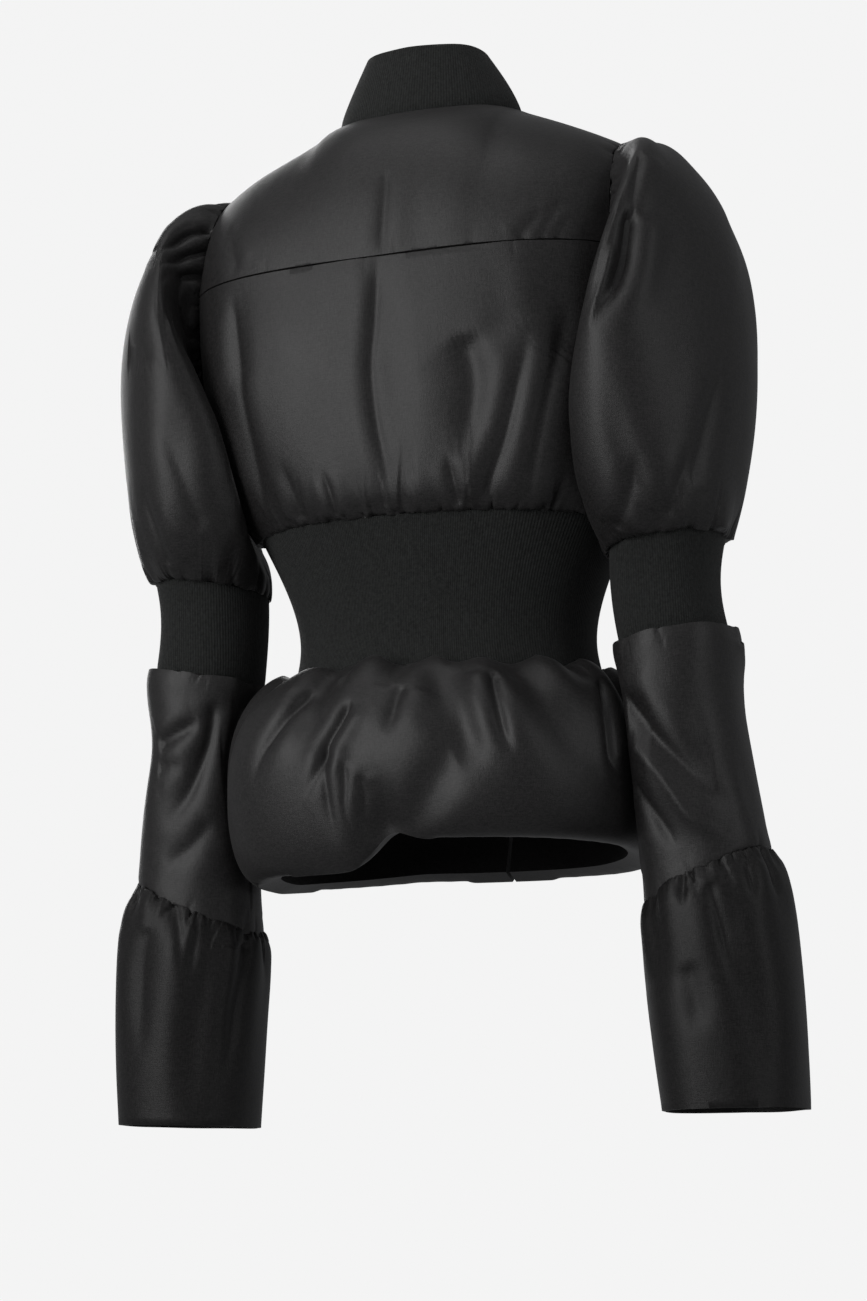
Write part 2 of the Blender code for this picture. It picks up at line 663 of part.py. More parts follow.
def make_collar(knit):
    """A rib stand collar on the neckline, higher at the back, open at the centre front."""
    half_gap = FRONT_OPENING / 2 / 0.075
    turn = np.linspace(-math.pi / 2 + half_gap, 1.5 * math.pi - half_gap, 45)
    share = np.abs(np.angle(np.exp(1j * (turn - math.pi / 2)))) / math.pi  # 0 back, 1 front
    base = np.empty((len(turn), 3))
    for k, angle in enumerate(turn):
        across = 0.46 * abs(math.asin(max(-1, min(1, math.cos(angle))))) / (math.pi / 2)
        base[k] = top_row(np.array([across]), 1 if math.sin(angle) >= 0 else -1)[0]
        base[k, 0] *= 1 if math.cos(angle) >= 0 else -1
    height = COLLAR_HEIGHT + (COLLAR_FRONT_HEIGHT - COLLAR_HEIGHT) * share**1.4
    back = 0.06 + (COLLAR_DRAW_IN[1] - 0.06) * np.clip(base[:, 1] / BACK_NECK[0], 0, 1)
    draw_in = np.stack([-COLLAR_DRAW_IN[0] * base[:, 0], -back * base[:, 1], 0 * turn], -1)
    rows = []
    for rise in np.linspace(0, 1, 5):
        row = base + draw_in * rise * np.array([rise**0.25, 1, 1])
        row[:, 2] += SEAM_GAP * 2 + height * rise
        rows.append(row)
    outer = np.array(rows)
    facing = outward(outer, False, centres(outer))
    outer[:, 0, 0], outer[:, -1, 0] = FRONT_OPENING / 2, -FRONT_OPENING / 2
    wall("collar", outer, (outer - facing * KNIT_WALL)[:, ::2], False, knit)


def dropped(grid, side):
    """The left sleeve hangs a little lower."""
    if side > 0:
        grid = grid.copy()
        grid[..., 2] -= LEFT_DROP * np.clip((UNDERARM + 0.04 - grid[..., 2]) / 0.1, 0, 1)
    return grid


def tube(name, form, gathers, folds, thickness, side, material, padded):
    """A sleeve piece. A padded one has only its folds inside, and a thin one its gathers too."""
    facing = outward(form, True, centres(form))
    gathers[0] = folds[0] = folds[-1] = 0
    outer = form + facing * (gathers + folds)[..., None]
    if padded:
        inner = form + facing * (folds * 0.8)[..., None] - along_ends(facing, form, True) * thickness
        inner = inner[thinned(len(form))][:, ::2]
    else:
        inner = outer - along_ends(outward(outer, True, centres(outer)), outer, True) * thickness
    if side < 0:
        outer, inner = mirrored(outer), mirrored(inner)
    wall(name, outer, inner, True, material)


def make_sleeve(word, side, satin, knit):
    ring_angles = np.linspace(0, 2 * math.pi, 48, endpoint=False)
    degrees = np.degrees(ring_angles)
    first = armhole(ring_angles)
    first[:, 0] += SEAM_GAP
    table = list(UPPER_SLEEVE)
    for k, (inward, down) in enumerate(LEFT_HEAD if side > 0 else ()):
        ring = table[k]
        table[k] = ring._replace(outer_x=ring.outer_x - inward, outer_z=ring.outer_z - down)
    puff = dropped(rings(table, np.linspace(0, len(table) - 1, 13), ring_angles), side)
    puff = np.concatenate([first[None], clear_of_body(puff, PUFF_CLEARANCE)])
    length = row_lengths(puff)
    gathers = gather_relief(ring_angles, np.abs(length - length[1]), HEAD_GATHERS)
    gathers *= (0.5 + 0.5 * np.cos(ring_angles))[None, :] ** 0.7
    low = gather_relief(ring_angles + 0.2 * side, length[-2] - length, PUFF_GATHERS)
    gathers += low * (0.65 + 0.35 * np.cos(ring_angles))[None, :]
    gathers[-1] = 0
    folds = fold_relief(degrees, length / length[-1], 0.0013, UPPER_FOLDS[word], True)
    tube(f"upper_sleeve_{word}", puff, gathers, folds, PADDED_WALL - 0.001, side, satin, True)

    band_angles = np.linspace(0, 2 * math.pi, 24, endpoint=False)
    band = dropped(rings(ELBOW_BAND, np.linspace(0, len(ELBOW_BAND) - 1, 5), band_angles), side)
    band = clear_of_body(band, ARM_CLEARANCE)
    none = np.zeros(band.shape[:2])
    tube(f"elbow_band_{word}", band, none, none.copy(), KNIT_WALL, side, knit, False)

    arm_angles = np.linspace(0, 2 * math.pi, 36, endpoint=False)
    arm = rings(LOWER_SLEEVE, np.concatenate([[0, 0.8], np.linspace(1.5, 7, 7)]), arm_angles)
    arm = clear_of_body(dropped(arm, side), ARM_CLEARANCE)
    length = row_lengths(arm)
    gathers = gather_relief(arm_angles, length, LOWER_GATHERS)
    folds = fold_relief(np.degrees(arm_angles), length / length[-1], 0.0009, LOWER_FOLDS[word], True)
    gathers[-1] = 0
    folds *= np.clip(length / 0.03 - 0.3, 0, 1)[:, None]
    tube(f"lower_sleeve_{word}", arm, gathers, folds, SATIN_WALL, side, satin, False)

    cuff_angles = np.linspace(0, 2 * math.pi, 40, endpoint=False)
    flounce = rings(CUFF, np.concatenate([[0, 0.7], np.linspace(1.4, 5, 5)]), cuff_angles)
    flounce = clear_of_body(dropped(flounce, side), ARM_CLEARANCE)
    length = row_lengths(flounce)
    gathers = gather_relief(cuff_angles, np.maximum(length - length[1], 0), CUFF_GATHERS)
    folds = fold_relief(np.degrees(cuff_angles), length / length[-1], 0.001, CUFF_FOLDS[word], True)
    tube(f"cuff_{word}", flounce, gathers, folds, SATIN_WALL, side, satin, False)


def front_line():
    """The centre front from the waistband's lower edge to the collar's top, in Y and Z."""
    band = stack(WAISTBAND, np.linspace(0.03, len(WAISTBAND) - 1, 8)[:-1], np.array([-math.pi / 2]))
    levels = np.concatenate([np.linspace(0, 1, 6), [1.33, 1.66, 2.0], np.linspace(2.15, 2.99, 5)])
    body = body_patch(levels, np.array([0.0]), -1)
    base = np.array([0, FRONT_NECK[0], FRONT_NECK[1]])
    collar = [
        base + [0, -0.06 * base[1] * rise, COLLAR_FRONT_HEIGHT * rise] for rise in np.linspace(0.1, 0.985, 4)
    ]
    return np.concatenate([band[:, 0], body[:, 0], np.array(collar)])[:, 1:]


def line_normals(line):
    """Unit normals of the centre-front line, towards the front."""
    along = np.gradient(line, axis=0)
    along /= np.linalg.norm(along, axis=1, keepdims=True)
    return np.stack([-along[:, 1], along[:, 0]], axis=1)


def slab(name, loops, caps, low, high, place, material):
    """A flat solid from loops of 2-D points, faces between them, and two levels, put in place."""
    bm = bmesh.new()
    points = [point for loop in loops for point in loop]
    layers = [[bm.verts.new(place(*point, level)) for point in points] for level in (low, high)]
    for layer in layers:
        for cap in caps:
            bm.faces.new([layer[k] for k in cap])
    start = 0
    for loop in loops:
        for k in range(len(loop)):
            a, b = start + k, start + (k + 1) % len(loop)
            bm.faces.new((layers[0][a], layers[0][b], layers[1][b], layers[1][a]))
        start += len(loop)
    bmesh.ops.recalc_face_normals(bm, faces=bm.faces)
    return finish(name, bm, material)


def make_zip(metal):
    """The closed zip: a chain up the centre front, its slider at the top, and the pull."""
    line = front_line()
    facing = line_normals(line)
    bm = bmesh.new()
    rows = []
    for point, normal in zip(line, facing):
        near, far = point - normal * CHAIN_INSET, point - normal * (CHAIN_INSET + CHAIN_THICK)
        half = CHAIN_WIDTH / 2
        corners = [(-half, *near), (half, *near), (half, *far), (-half, *far)]
        rows.append([bm.verts.new(corner) for corner in lean(corners)])
    for above, below in zip(rows, rows[1:]):
        for k in range(4):
            n = (k + 1) % 4
            bm.faces.new((above[k], above[n], below[n], below[k]))
    bm.faces.new(rows[0])
    bm.faces.new(rows[-1])
    bmesh.ops.recalc_face_normals(bm, faces=bm.faces)
    finish("zip_chain", bm, metal)

    # Along and out are measured up the collar's front edge, and out from its face.
    before, foot = lean(np.array([[0, *line[-2]], [0, *line[-1]]]))
    along = foot[1:] - before[1:]
    along /= np.linalg.norm(along)
    out = np.array([-along[1], along[0]])

    def at(x, up, away):
        y, z = foot[1:] + along * up + out * away
        return (foot[0] + x, y, z)

    def from_side(up, away, x):
        return at(x, up, away)

    front, back = SLIDER_GAP, -(KNIT_WALL + SLIDER_GAP)
    low, high = -SLIDER_HEIGHT, SLIDER_TOP
    plate = [
        (low, front), (low, front + 0.0012), (high - 0.0008, front + 0.0012), (high, front + 0.0004),
        (high, back - 0.0004), (high - 0.0008, back - 0.0012), (low, back - 0.0012), (low, back),
        (high - 0.0016, back), (high - 0.0016, front),
    ]  # fmt: skip
    caps = [(0, 1, 2, 9), (2, 3, 4, 5, 8, 9), (5, 6, 7, 8)]
    slider = slab("zip_slider", [plate], caps, -0.0035, 0.0035, from_side, metal)
    sill = front + 0.0012
    arch = [
        (PULL_AXIS - 0.0044, sill - 0.0003), (PULL_AXIS - 0.0040, sill + 0.0026), (PULL_AXIS - 0.0026, sill + 0.0034),
        (PULL_AXIS + 0.0012, sill + 0.0034), (PULL_AXIS + 0.0024, sill + 0.0026), (PULL_AXIS + 0.0026, sill - 0.0003),
        (PULL_AXIS + 0.0014, sill - 0.0003), (PULL_AXIS + 0.0013, sill + 0.0024),
        (PULL_AXIS - 0.0028, sill + 0.0024), (PULL_AXIS - 0.0032, sill - 0.0003),
    ]  # fmt: skip
    caps = [(0, 1, 8, 9), (1, 2, 3, 4, 7, 8), (4, 5, 6, 7)]
    bail = slab("slider_arch", [arch], caps, -0.0010, 0.0010, from_side, metal)
    bail.hide_render = True
    join = slider.modifiers.new("arch", "BOOLEAN")
    join.operation, join.object, join.solver = "UNION", bail, "EXACT"

    edge = [
        (-0.0026, 0.0006), (0.0026, 0.0006), (0.0026, -0.0052), (0.0024, -0.0175), (0.0014, -0.0190),
        (-0.0014, -0.0190), (-0.0024, -0.0175), (-0.0026, -0.0052),
    ]  # fmt: skip
    window = [(-0.0017, -0.0006), (0.0017, -0.0006), (0.0017, -0.0052), (-0.0017, -0.0052)]
    caps = [(0, 1, 9, 8), (1, 2, 10, 9), (7, 0, 8, 11), (11, 10, 2, 3, 4, 5, 6, 7)]

    def on_pull(x, up, away):
        return at(x, PULL_AXIS + up, sill + 0.0012 + away)

    slab("zip_pull", [edge, window], caps, -0.0006, 0.0006, on_pull, metal)


def make_materials():
    made = {}
    for name, (colour, roughness, metallic) in COLOURS.items():
        material = bpy.data.materials.new(name)
        material.use_nodes = True
        shader = material.node_tree.nodes["Principled BSDF"]
        shader.inputs["Base Color"].default_value = (*colour, 1)
        shader.inputs["Roughness"].default_value = roughness
        shader.inputs["Metallic"].default_value = metallic
        made[name] = material
    return made


def main():
    for thing in list(bpy.data.objects):
        bpy.data.objects.remove(thing)
    materials = make_materials()
    satin, knit = materials["satin"], materials["rib_knit"]
    make_body(satin)
    make_waistband(knit)
    make_peplum(satin)
    make_collar(knit)
    for word, side in (("left", 1), ("right", -1)):
        make_sleeve(word, side, satin, knit)
    make_zip(materials["zip_metal"])


main()
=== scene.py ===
"""The finished look of a padded satin jacket with a rib-knit corset waist and a bubble peplum.

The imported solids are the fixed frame. Each cloth piece is a finer copy of its solid, worked with
seam gathers and creases, and dressed in satin or rib knit.
"""

import math
from collections import namedtuple

import bpy
import numpy as np
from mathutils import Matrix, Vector, bvhtree, kdtree


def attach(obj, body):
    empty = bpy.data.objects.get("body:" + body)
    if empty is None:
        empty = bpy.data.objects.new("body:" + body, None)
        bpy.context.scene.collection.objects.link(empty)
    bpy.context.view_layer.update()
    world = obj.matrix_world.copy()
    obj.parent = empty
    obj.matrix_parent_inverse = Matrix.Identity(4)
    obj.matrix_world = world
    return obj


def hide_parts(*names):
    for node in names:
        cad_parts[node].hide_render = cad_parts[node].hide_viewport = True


bl_info = {
    "name": "Padded peplum jacket",
    "version": (1, 0, 0),
    "blender": (4, 5, 0),
    "location": "3D View > Sidebar > Jacket",
    "description": "Dresses the packed jacket in padded satin, rib knit and a metal zip",
    "category": "Object",
}

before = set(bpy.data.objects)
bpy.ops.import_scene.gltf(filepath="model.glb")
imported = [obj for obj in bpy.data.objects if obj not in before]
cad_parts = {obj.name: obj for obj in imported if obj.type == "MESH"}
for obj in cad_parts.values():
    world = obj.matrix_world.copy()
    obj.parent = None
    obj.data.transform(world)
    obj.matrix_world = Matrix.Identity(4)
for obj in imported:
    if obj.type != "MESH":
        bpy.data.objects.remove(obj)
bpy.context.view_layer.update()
BODY = "jacket"

# ---------------------------------------------------------------- tables, in metres
# The line that a piece is wrapped round. "Out of the piece" is measured from it.
CORES = {
    "body": ((0.006, 0.02, -0.60), (0.004, 0.0, -0.42), (0.003, 0.0, -0.30), (0.0, 0.0, -0.10)),
    "collar": ((0.0, -0.01, -0.10), (0.0, -0.01, 0.12)),
    "arm_left": ((0.172, 0.020, -0.085), (0.195, 0.020, -0.25), (0.195, 0.010, -0.40),
                 (0.205, 0.0, -0.58), (0.215, -0.008, -0.80)),
    "arm_right": ((-0.172, 0.020, -0.085), (-0.200, 0.020, -0.25), (-0.205, 0.010, -0.39),
                  (-0.215, 0.0, -0.57), (-0.228, -0.008, -0.80)),
}

# A seam's run of puckers: which edge of the piece, how many, how deep, how wide and how far they
# reach, the seed of their uneven spacing, and how far the full cloth between them hangs past the
# seam (up, or down where it is negative).
Puckers = namedtuple("Puckers", "edge count depth width reach seed overhang", defaults=(0.0,))

# One crease: points along it in millimetres, its half width and depth in millimetres (a ridge has
# a negative depth), and how much cloth is pushed up beside it, to its left and to its right.
Crease = namedtuple("Crease", "points width depth left right")

SIDES = ("left", "right")

# Each edge of a piece, and the solids that it is sewn to
EDGES = {
    "back_panel": {"waist": ("waistband",), "yoke": ("back_yoke",)},
    "back_yoke": {
        "yoke": ("back_panel",),
        "neck": ("collar",),
        "armhole_left": ("upper_sleeve_left",),
        "armhole_right": ("upper_sleeve_right",),
    },
    "front_left": {"waist": ("waistband",), "armhole": ("upper_sleeve_left",)},
    "front_right": {"waist": ("waistband",), "armhole": ("upper_sleeve_right",)},
    "peplum": {"waist": ("waistband",)},
    "collar": {"neck": ("back_yoke", "front_left", "front_right")},
    "waistband": {"top": ("back_panel", "front_left", "front_right"), "peplum": ("peplum",)},
}
for side in SIDES:
    EDGES["upper_sleeve_" + side] = {
        "head": ("back_yoke", "back_panel", "front_" + side),
        "cuff": ("elbow_band_" + side,),
    }
    EDGES["elbow_band_" + side] = {
        "sleeve": ("upper_sleeve_" + side,),
        "cuff": ("lower_sleeve_" + side,),
    }
    EDGES["lower_sleeve_" + side] = {
        "band": ("elbow_band_" + side,),
        "cuff": ("cuff_" + side,),
    }
    EDGES["cuff_" + side] = {"seam": ("lower_sleeve_" + side,)}

PUCKERS = {
    "back_panel": (
        Puckers("waist", 13, 0.0020, 0.0044, 0.056, 11),
        Puckers("waist", 36, 0.0011, 0.0018, 0.013, 111, -0.0022),
        Puckers("yoke", 6, 0.0003, 0.0050, 0.030, 12),
    ),
    "back_yoke": (
        Puckers("yoke", 5, 0.0003, 0.0050, 0.022, 13),
        Puckers("armhole_left", 8, 0.0010, 0.0026, 0.020, 15),
        Puckers("armhole_right", 8, 0.0010, 0.0026, 0.020, 16),
    ),
    "peplum": (
        Puckers("waist", 13, 0.0019, 0.0072, 0.046, 31, 0.0056),
        Puckers("waist", 44, 0.0012, 0.0022, 0.014, 131, 0.0016),
    ),
    "upper_sleeve_left": (
        Puckers("head", 22, 0.0026, 0.0032, 0.024, 21),
        Puckers("head", 56, 0.0012, 0.0016, 0.012, 121),
        Puckers("cuff", 14, 0.0020, 0.0044, 0.044, 22, -0.0030),
        Puckers("cuff", 36, 0.0010, 0.0018, 0.012, 122, -0.0012),
    ),
    "upper_sleeve_right": (
        Puckers("head", 20, 0.0024, 0.0034, 0.026, 23),
        Puckers("head", 56, 0.0012, 0.0016, 0.012, 123),
        Puckers("cuff", 14, 0.0020, 0.0044, 0.042, 24, -0.0030),
        Puckers("cuff", 36, 0.0010, 0.0018, 0.012, 124, -0.0012),
    ),
}
for number, side in enumerate(SIDES):
    PUCKERS["front_" + side] = (
        Puckers("waist", 7, 0.0022, 0.0042, 0.058, 17 + number),
        Puckers("waist", 20, 0.0011, 0.0018, 0.013, 117 + number, -0.0022),
    )
    PUCKERS["lower_sleeve_" + side] = (
        Puckers("band", 9, 0.0010, 0.0040, 0.026, 41 + number * 2, 0.0016),
        Puckers("cuff", 8, 0.0010, 0.0040, 0.026, 42 + number * 2),
    )
    PUCKERS["cuff_" + side] = (
        Puckers("seam", 15, 0.0030, 0.0046, 0.036, 51 + number, 0.0024),
        Puckers("seam", 40, 0.0012, 0.0018, 0.014, 151 + number, 0.0008),
    )

CREASES = {
    "back_yoke": (
        Crease(((-2, 102, -35), (-3, 107, -62), (-2, 109, -90), (-1, 109, -108)),
               6, 1.6, 0.7, 0.3),
        Crease(((-105, 95, -103), (-117, 98, -92), (-127, 94, -79)), 4, 1.2, 0.5, 0.6),
        Crease(((-122, 94, -104), (-130, 93, -90), (-139, 86, -70)), 4, 1.4, 0.5, 0.7),
        Crease(((-133, 90, -105), (-139, 89, -94), (-145, 85, -83)), 4, 1.2, 0.4, 0.6),
        Crease(((122, 94, -100), (131, 90, -80), (137, 82, -58)), 5, 1.1, 0.5, 0.5),
    ),
    "back_panel": (
        Crease(((2, 109, -106), (4, 109, -152), (7, 109, -192), (4, 106, -232), (-2, 101, -266),
                (-3, 87, -299)), 6, 2.0, 0.9, 0.4),
        Crease(((129, 96, -119), (122, 96, -172), (116, 90, -230), (112, 77, -270),
                (111, 60, -296)), 7, 2.2, 0.8, 0.6),
        Crease(((-75, 82, -295), (-83, 89, -277), (-95, 93, -249), (-108, 97, -205),
                (-120, 98, -162)), 6, 3.2, 1.0, 0.9),
        Crease(((-104, 72, -295), (-116, 84, -260), (-128, 89, -217), (-137, 87, -179),
                (-145, 86, -145)), 7, 2.4, 0.7, 0.9),
        Crease(((-66, 103, -172), (-73, 101, -203), (-70, 101, -235), (-62, 98, -268)),
               17, 5.2, 1.1, 1.4),
        Crease(((-55, 86, -297), (-54, 96, -280), (-51, 100, -262)), 4, 2.0, 0.8, 0.8),
        Crease(((43, 86, -299), (45, 96, -284), (50, 101, -265)), 4, 2.0, 0.8, 0.8),
        Crease(((78, 80, -299), (80, 90, -280), (86, 94, -255)), 5, 1.8, 0.6, 0.8),
    ),
    "front_left": (
        Crease(((28, -106, -299), (34, -118, -262), (38, -124, -205), (34, -120, -150)),
               7, 3.2, 1.0, 0.8),
        Crease(((84, -84, -299), (90, -102, -262), (98, -108, -205), (110, -98, -150)),
               7, 3.6, 0.9, 1.0),
        Crease(((142, -30, -190), (124, -70, -186), (100, -96, -196), (84, -108, -216)),
               7, 2.8, 0.8, 0.8),
        Crease(((140, -40, -140), (124, -66, -132), (104, -88, -136)), 6, 2.4, 0.8, 0.8),
        Crease(((60, -96, -299), (62, -108, -278), (66, -118, -246)), 5, 2.6, 0.9, 0.9),
        Crease(((112, -66, -299), (118, -84, -276), (124, -90, -244)), 5, 2.6, 0.9, 0.9),
    ),
    "front_right": (
        Crease(((-36, -104, -299), (-42, -118, -256), (-50, -122, -200), (-44, -116, -156)),
               7, 3.2, 0.8, 1.0),
        Crease(((-92, -82, -299), (-98, -98, -262), (-112, -102, -210), (-118, -90, -164)),
               7, 3.4, 0.9, 1.0),
        Crease(((-146, -30, -180), (-126, -68, -176), (-100, -94, -188), (-80, -108, -206)),
               7, 2.8, 0.8, 0.8),
        Crease(((-138, -40, -130), (-120, -66, -124), (-98, -90, -132)), 6, 2.4, 0.8, 0.8),
        Crease(((-64, -94, -299), (-68, -108, -280), (-72, -116, -250)), 5, 2.6, 0.9, 0.9),
        Crease(((-120, -62, -299), (-126, -80, -278), (-132, -86, -250)), 5, 2.6, 0.9, 0.9),
    ),
    "peplum": (
        Crease(((14, 127, -446), (22, 131, -462), (30, 132, -477), (35, 135, -493),
                (49, 132, -518)), 5, 5.0, 0.8, 2.2),
        Crease(((-90, 104, -424), (-92, 110, -436), (-98, 118, -455), (-105, 123, -477),
                (-112, 120, -492)), 6.0, 5.4, 1.8, 0.8),
        Crease(((-151, 42, -426), (-160, 56, -455), (-164, 58, -488), (-167, 43, -503)),
               5, 5.0, 1.2, 1.2),
        Crease(((52, 108, -432), (62, 118, -446), (74, 123, -462), (86, 123, -478),
                (97, 118, -506)), 6.5, 4.4, 1.2, 1.2),
        Crease(((-23, 121, -434), (-21, 130, -450), (-19, 135, -474)), 7, 3.2, 1.0, 1.0),
        Crease(((31, 135, -480), (31, 135, -492), (30, 134, -512), (28, 131, -530),
                (24, 124, -553)), 5, 2.2, 0.6, 0.9),
        Crease(((16, 135, -492), (15, 135, -508), (16, 132, -525), (12, 125, -548)),
               4, 1.8, 0.5, 0.8),
        Crease(((4, 131, -502), (2, 130, -515), (4, 126, -532), (2, 118, -546)), 4, 1.8, 0.5, 0.8),
        Crease(((110, -110, -430), (118, -124, -460), (122, -126, -500)), 8, 3.4, 1.2, 1.0),
        Crease(((50, -140, -432), (54, -158, -462), (50, -160, -505)), 8, 3.4, 1.2, 1.0),
        Crease(((-40, -142, -432), (-46, -160, -462), (-48, -162, -500)), 8, 3.4, 1.2, 1.0),
        Crease(((-104, -114, -430), (-112, -128, -460), (-112, -132, -500)), 8, 3.4, 1.2, 1.0),
        Crease(((148, 0, -434), (154, 8, -462), (154, 14, -500)), 8, 3.4, 1.0, 1.2),
    ),
    "upper_sleeve_right": (
        Crease(((-197, 78, -38), (-199, 92, -58), (-199, 101, -78), (-197, 107, -100)),
               6, 3.4, 1.0, 1.2),
        Crease(((-198, 103, -90), (-197, 107, -108), (-193, 110, -132), (-184, 113, -154),
                (-168, 113, -176)), 8, 10.0, 1.0, 3.2),
        Crease(((-187, 113, -118), (-180, 114, -146), (-164, 111, -182)), 5, -3.0, 0, 0),
        Crease(((-174, 60, -317), (-186, 80, -300), (-198, 92, -268)), 6, 2.4, 0.8, 0.8),
        Crease(((-210, 66, -314), (-220, 72, -296), (-230, 70, -262)), 6, 2.2, 0.8, 0.8),
        Crease(((-230, 66, -292), (-238, 60, -250), (-248, 47, -200)), 9, 2.6, 0.8, 1.0),
        Crease(((-225, -50, -90), (-238, -40, -130), (-240, -42, -185)), 8, 2.6, 0.9, 0.9),
        Crease(((-200, -58, -300), (-210, -62, -262), (-214, -58, -210)), 8, 2.4, 0.9, 0.9),
    ),
    "upper_sleeve_left": (
        Crease(((166, 50, -50), (174, 58, -53), (182, 66, -57), (189, 82, -69), (200, 100, -78)),
               4, 5.4, 0.8, 1.0),
        Crease(((164, 52, -68), (173, 64, -72), (179, 71, -75), (186, 85, -84), (199, 97, -91)),
               4, 5.8, 0.8, 1.2),
        Crease(((162, 54, -90), (171, 64, -91), (177, 71, -92), (183, 84, -97), (189, 108, -108)),
               4, 5.4, 0.8, 1.4),
        Crease(((164, 50, -142), (172, 60, -139), (179, 68, -136), (184, 86, -130),
                (190, 102, -121)), 6, 3.4, 0.8, 1.2),
        Crease(((156, 84, -300), (162, 95, -278), (170, 104, -250), (186, 108, -215)),
               8, 1.8, 0.7, 0.7),
        Crease(((190, 66, -318), (196, 84, -296), (206, 92, -262)), 6, 2.2, 0.8, 0.8),
        Crease(((226, 52, -318), (236, 62, -290), (244, 60, -250)), 6, 2.2, 0.8, 0.8),
        Crease(((246, 10, -150), (252, 0, -190), (250, -10, -235)), 8, 2.2, 0.8, 0.8),
        Crease(((205, -48, -300), (214, -58, -262), (216, -52, -210)), 8, 2.4, 0.9, 0.9),
    ),
    "lower_sleeve_right": (
        Crease(((-165, 50, -440), (-180, 54, -458), (-198, 54, -478), (-229, 48, -509),
                (-251, 31, -528)), 8, 5.2, 1.6, 2.2),
        Crease(((-170, 52, -474), (-197, 53, -498), (-220, 49, -533), (-243, 38, -548)),
               7, -3.4, 0, 0),
        Crease(((-172, 48, -508), (-190, 50, -530), (-210, 48, -556)), 7, 3.6, 1.0, 1.0),
        Crease(((-190, -48, -420), (-206, -46, -450), (-228, -38, -480)), 8, 2.6, 0.8, 1.0),
        Crease(((-176, -44, -480), (-200, -46, -510), (-226, -38, -540)), 8, 2.6, 1.0, 0.8),
    ),
    "lower_sleeve_left": (
        Crease(((208, 51, -460), (188, 56, -451), (172, 55, -442)), 6, 4.2, 1.2, 1.6),
        Crease(((209, 50, -478), (198, 53, -476), (186, 54, -478)), 6, 1.8, 0.6, 0.6),
        Crease(((160, 53, -427), (165, 51, -457), (181, 52, -495), (204, 48, -525)),
               8, 4.2, 1.4, 1.8),
        Crease(((166, 44, -520), (184, 48, -540), (206, 44, -552)), 8, 2.4, 0.8, 1.0),
        Crease(((190, -48, -430), (206, -46, -460), (226, -38, -490)), 8, 2.6, 0.8, 1.0),
        Crease(((172, -44, -490), (196, -46, -520), (224, -38, -545)), 8, 2.6, 1.0, 0.8),
    ),
    "cuff_right": (
        Crease(((-233, 49, -580), (-239, 49, -600), (-244, 47, -621), (-250, 45, -658)),
               7, 3.4, 1.2, 1.2),
        Crease(((-213, 46, -576), (-213, 46, -582), (-215, 49, -600)), 4, 2.6, 0.8, 0.8),
        Crease(((-258, 37, -566), (-260, 36, -576), (-262, 34, -594)), 4, 2.4, 0.8, 0.8),
        Crease(((-262, 14, -556), (-268, 14, -568), (-271, 14, -590)), 4, 2.4, 0.8, 0.8),
        Crease(((-216, 50, -640), (-222, 52, -665), (-224, 50, -690)), 13, 2.6, 0.6, 0.6),
        Crease(((-200, -58, -610), (-208, -66, -650), (-206, -66, -710)), 10, 3.0, 1.0, 1.0),
        Crease(((-240, -56, -600), (-250, -60, -640), (-252, -60, -700)), 10, 3.0, 1.0, 1.0),
    ),
    "cuff_left": (
        Crease(((238, 38, -566), (238, 42, -574), (236, 44, -592)), 4, 2.4, 0.8, 0.8),
        Crease(((196, 44, -575), (196, 44, -585), (190, 47, -606), (188, 48, -640)),
               6, 3.0, 1.0, 1.0),
        Crease(((177, 42, -590), (177, 45, -606), (180, 46, -622), (184, 46, -650)),
               6, 3.0, 1.0, 1.0),
        Crease(((151, 12, -610), (151, 12, -620), (154, 20, -655), (157, 22, -684),
                (162, 26, -722)), 9, 3.6, 1.4, 1.0),
        Crease(((216, 46, -600), (222, 50, -640), (222, 48, -700)), 10, 2.2, 0.8, 0.8),
        Crease(((200, -62, -610), (208, -70, -650), (206, -70, -710)), 10, 3.0, 1.0, 1.0),
        Crease(((238, -54, -590), (246, -58, -640), (248, -58, -700)), 10, 3.0, 1.0, 1.0),
    ),
}


# ---------------------------------------------------------------- how a solid's copy is worked
FINER_LEVELS = 3  # how often each face of the copy is divided
# An edge that turns by more than this stays sharp, unless both its faces look out of the core
SHARP_TURN, OUTER_FACE = math.cos(math.radians(50)), 0.25
RIM_FACE = -0.3  # an edge of the outer side has a face that looks out by more than this
SAMPLE_STEP = 0.0015  # between the samples along an edge
SEAM_GAP = 0.0018  # an edge this close to another solid is sewn to it
SEAM_WINDOW = 31  # samples over which a seam's line is smoothed
SEAM_SHADOW = 0.0035  # reach of the dip beside a sewn seam
PADDED_DIP, THIN_DIP, KNIT_DIP = 0.0003, 0.0006, 0.0004  # depths of that dip
WAVE_STRETCH = np.array([1.0, 1.0, 0.45])  # waves are longer up and down
WAVES_PER_SIZE = 5
# How each pucker of a run varies, as a share of the run's own value
SPACING, DEPTHS, WIDTHS, REACHES = (0.45, 1.6), (0.35, 1.3), (0.6, 1.5), (0.35, 1.0)
SLANT, BEND = 0.16, 3.0  # spread of the puckers' slant and of their curve
PUFF = 0.30  # how much of its depth a run puffs its cloth up by
HANG_REACH = 0.0065  # how far from the seam the full cloth hangs past it
# A crease fades in and out over these shares of its length, and cloth is pushed up beside it at
# this many half widths, over this many
CREASE_IN, CREASE_OUT, SHOULDER_AT, SHOULDER_WIDE = 0.18, 0.42, 2.3, 1.4
MM = 0.001
# Points move along their normal with a pull away from the core. A padded piece's points move by
# a share that fades in as they face out, and the cloth's overhang by another.
CORE_PULL, OUTER_FADE, HANG_FADE = 0.25, (-0.25, 0.30), (-0.1, 0.6)


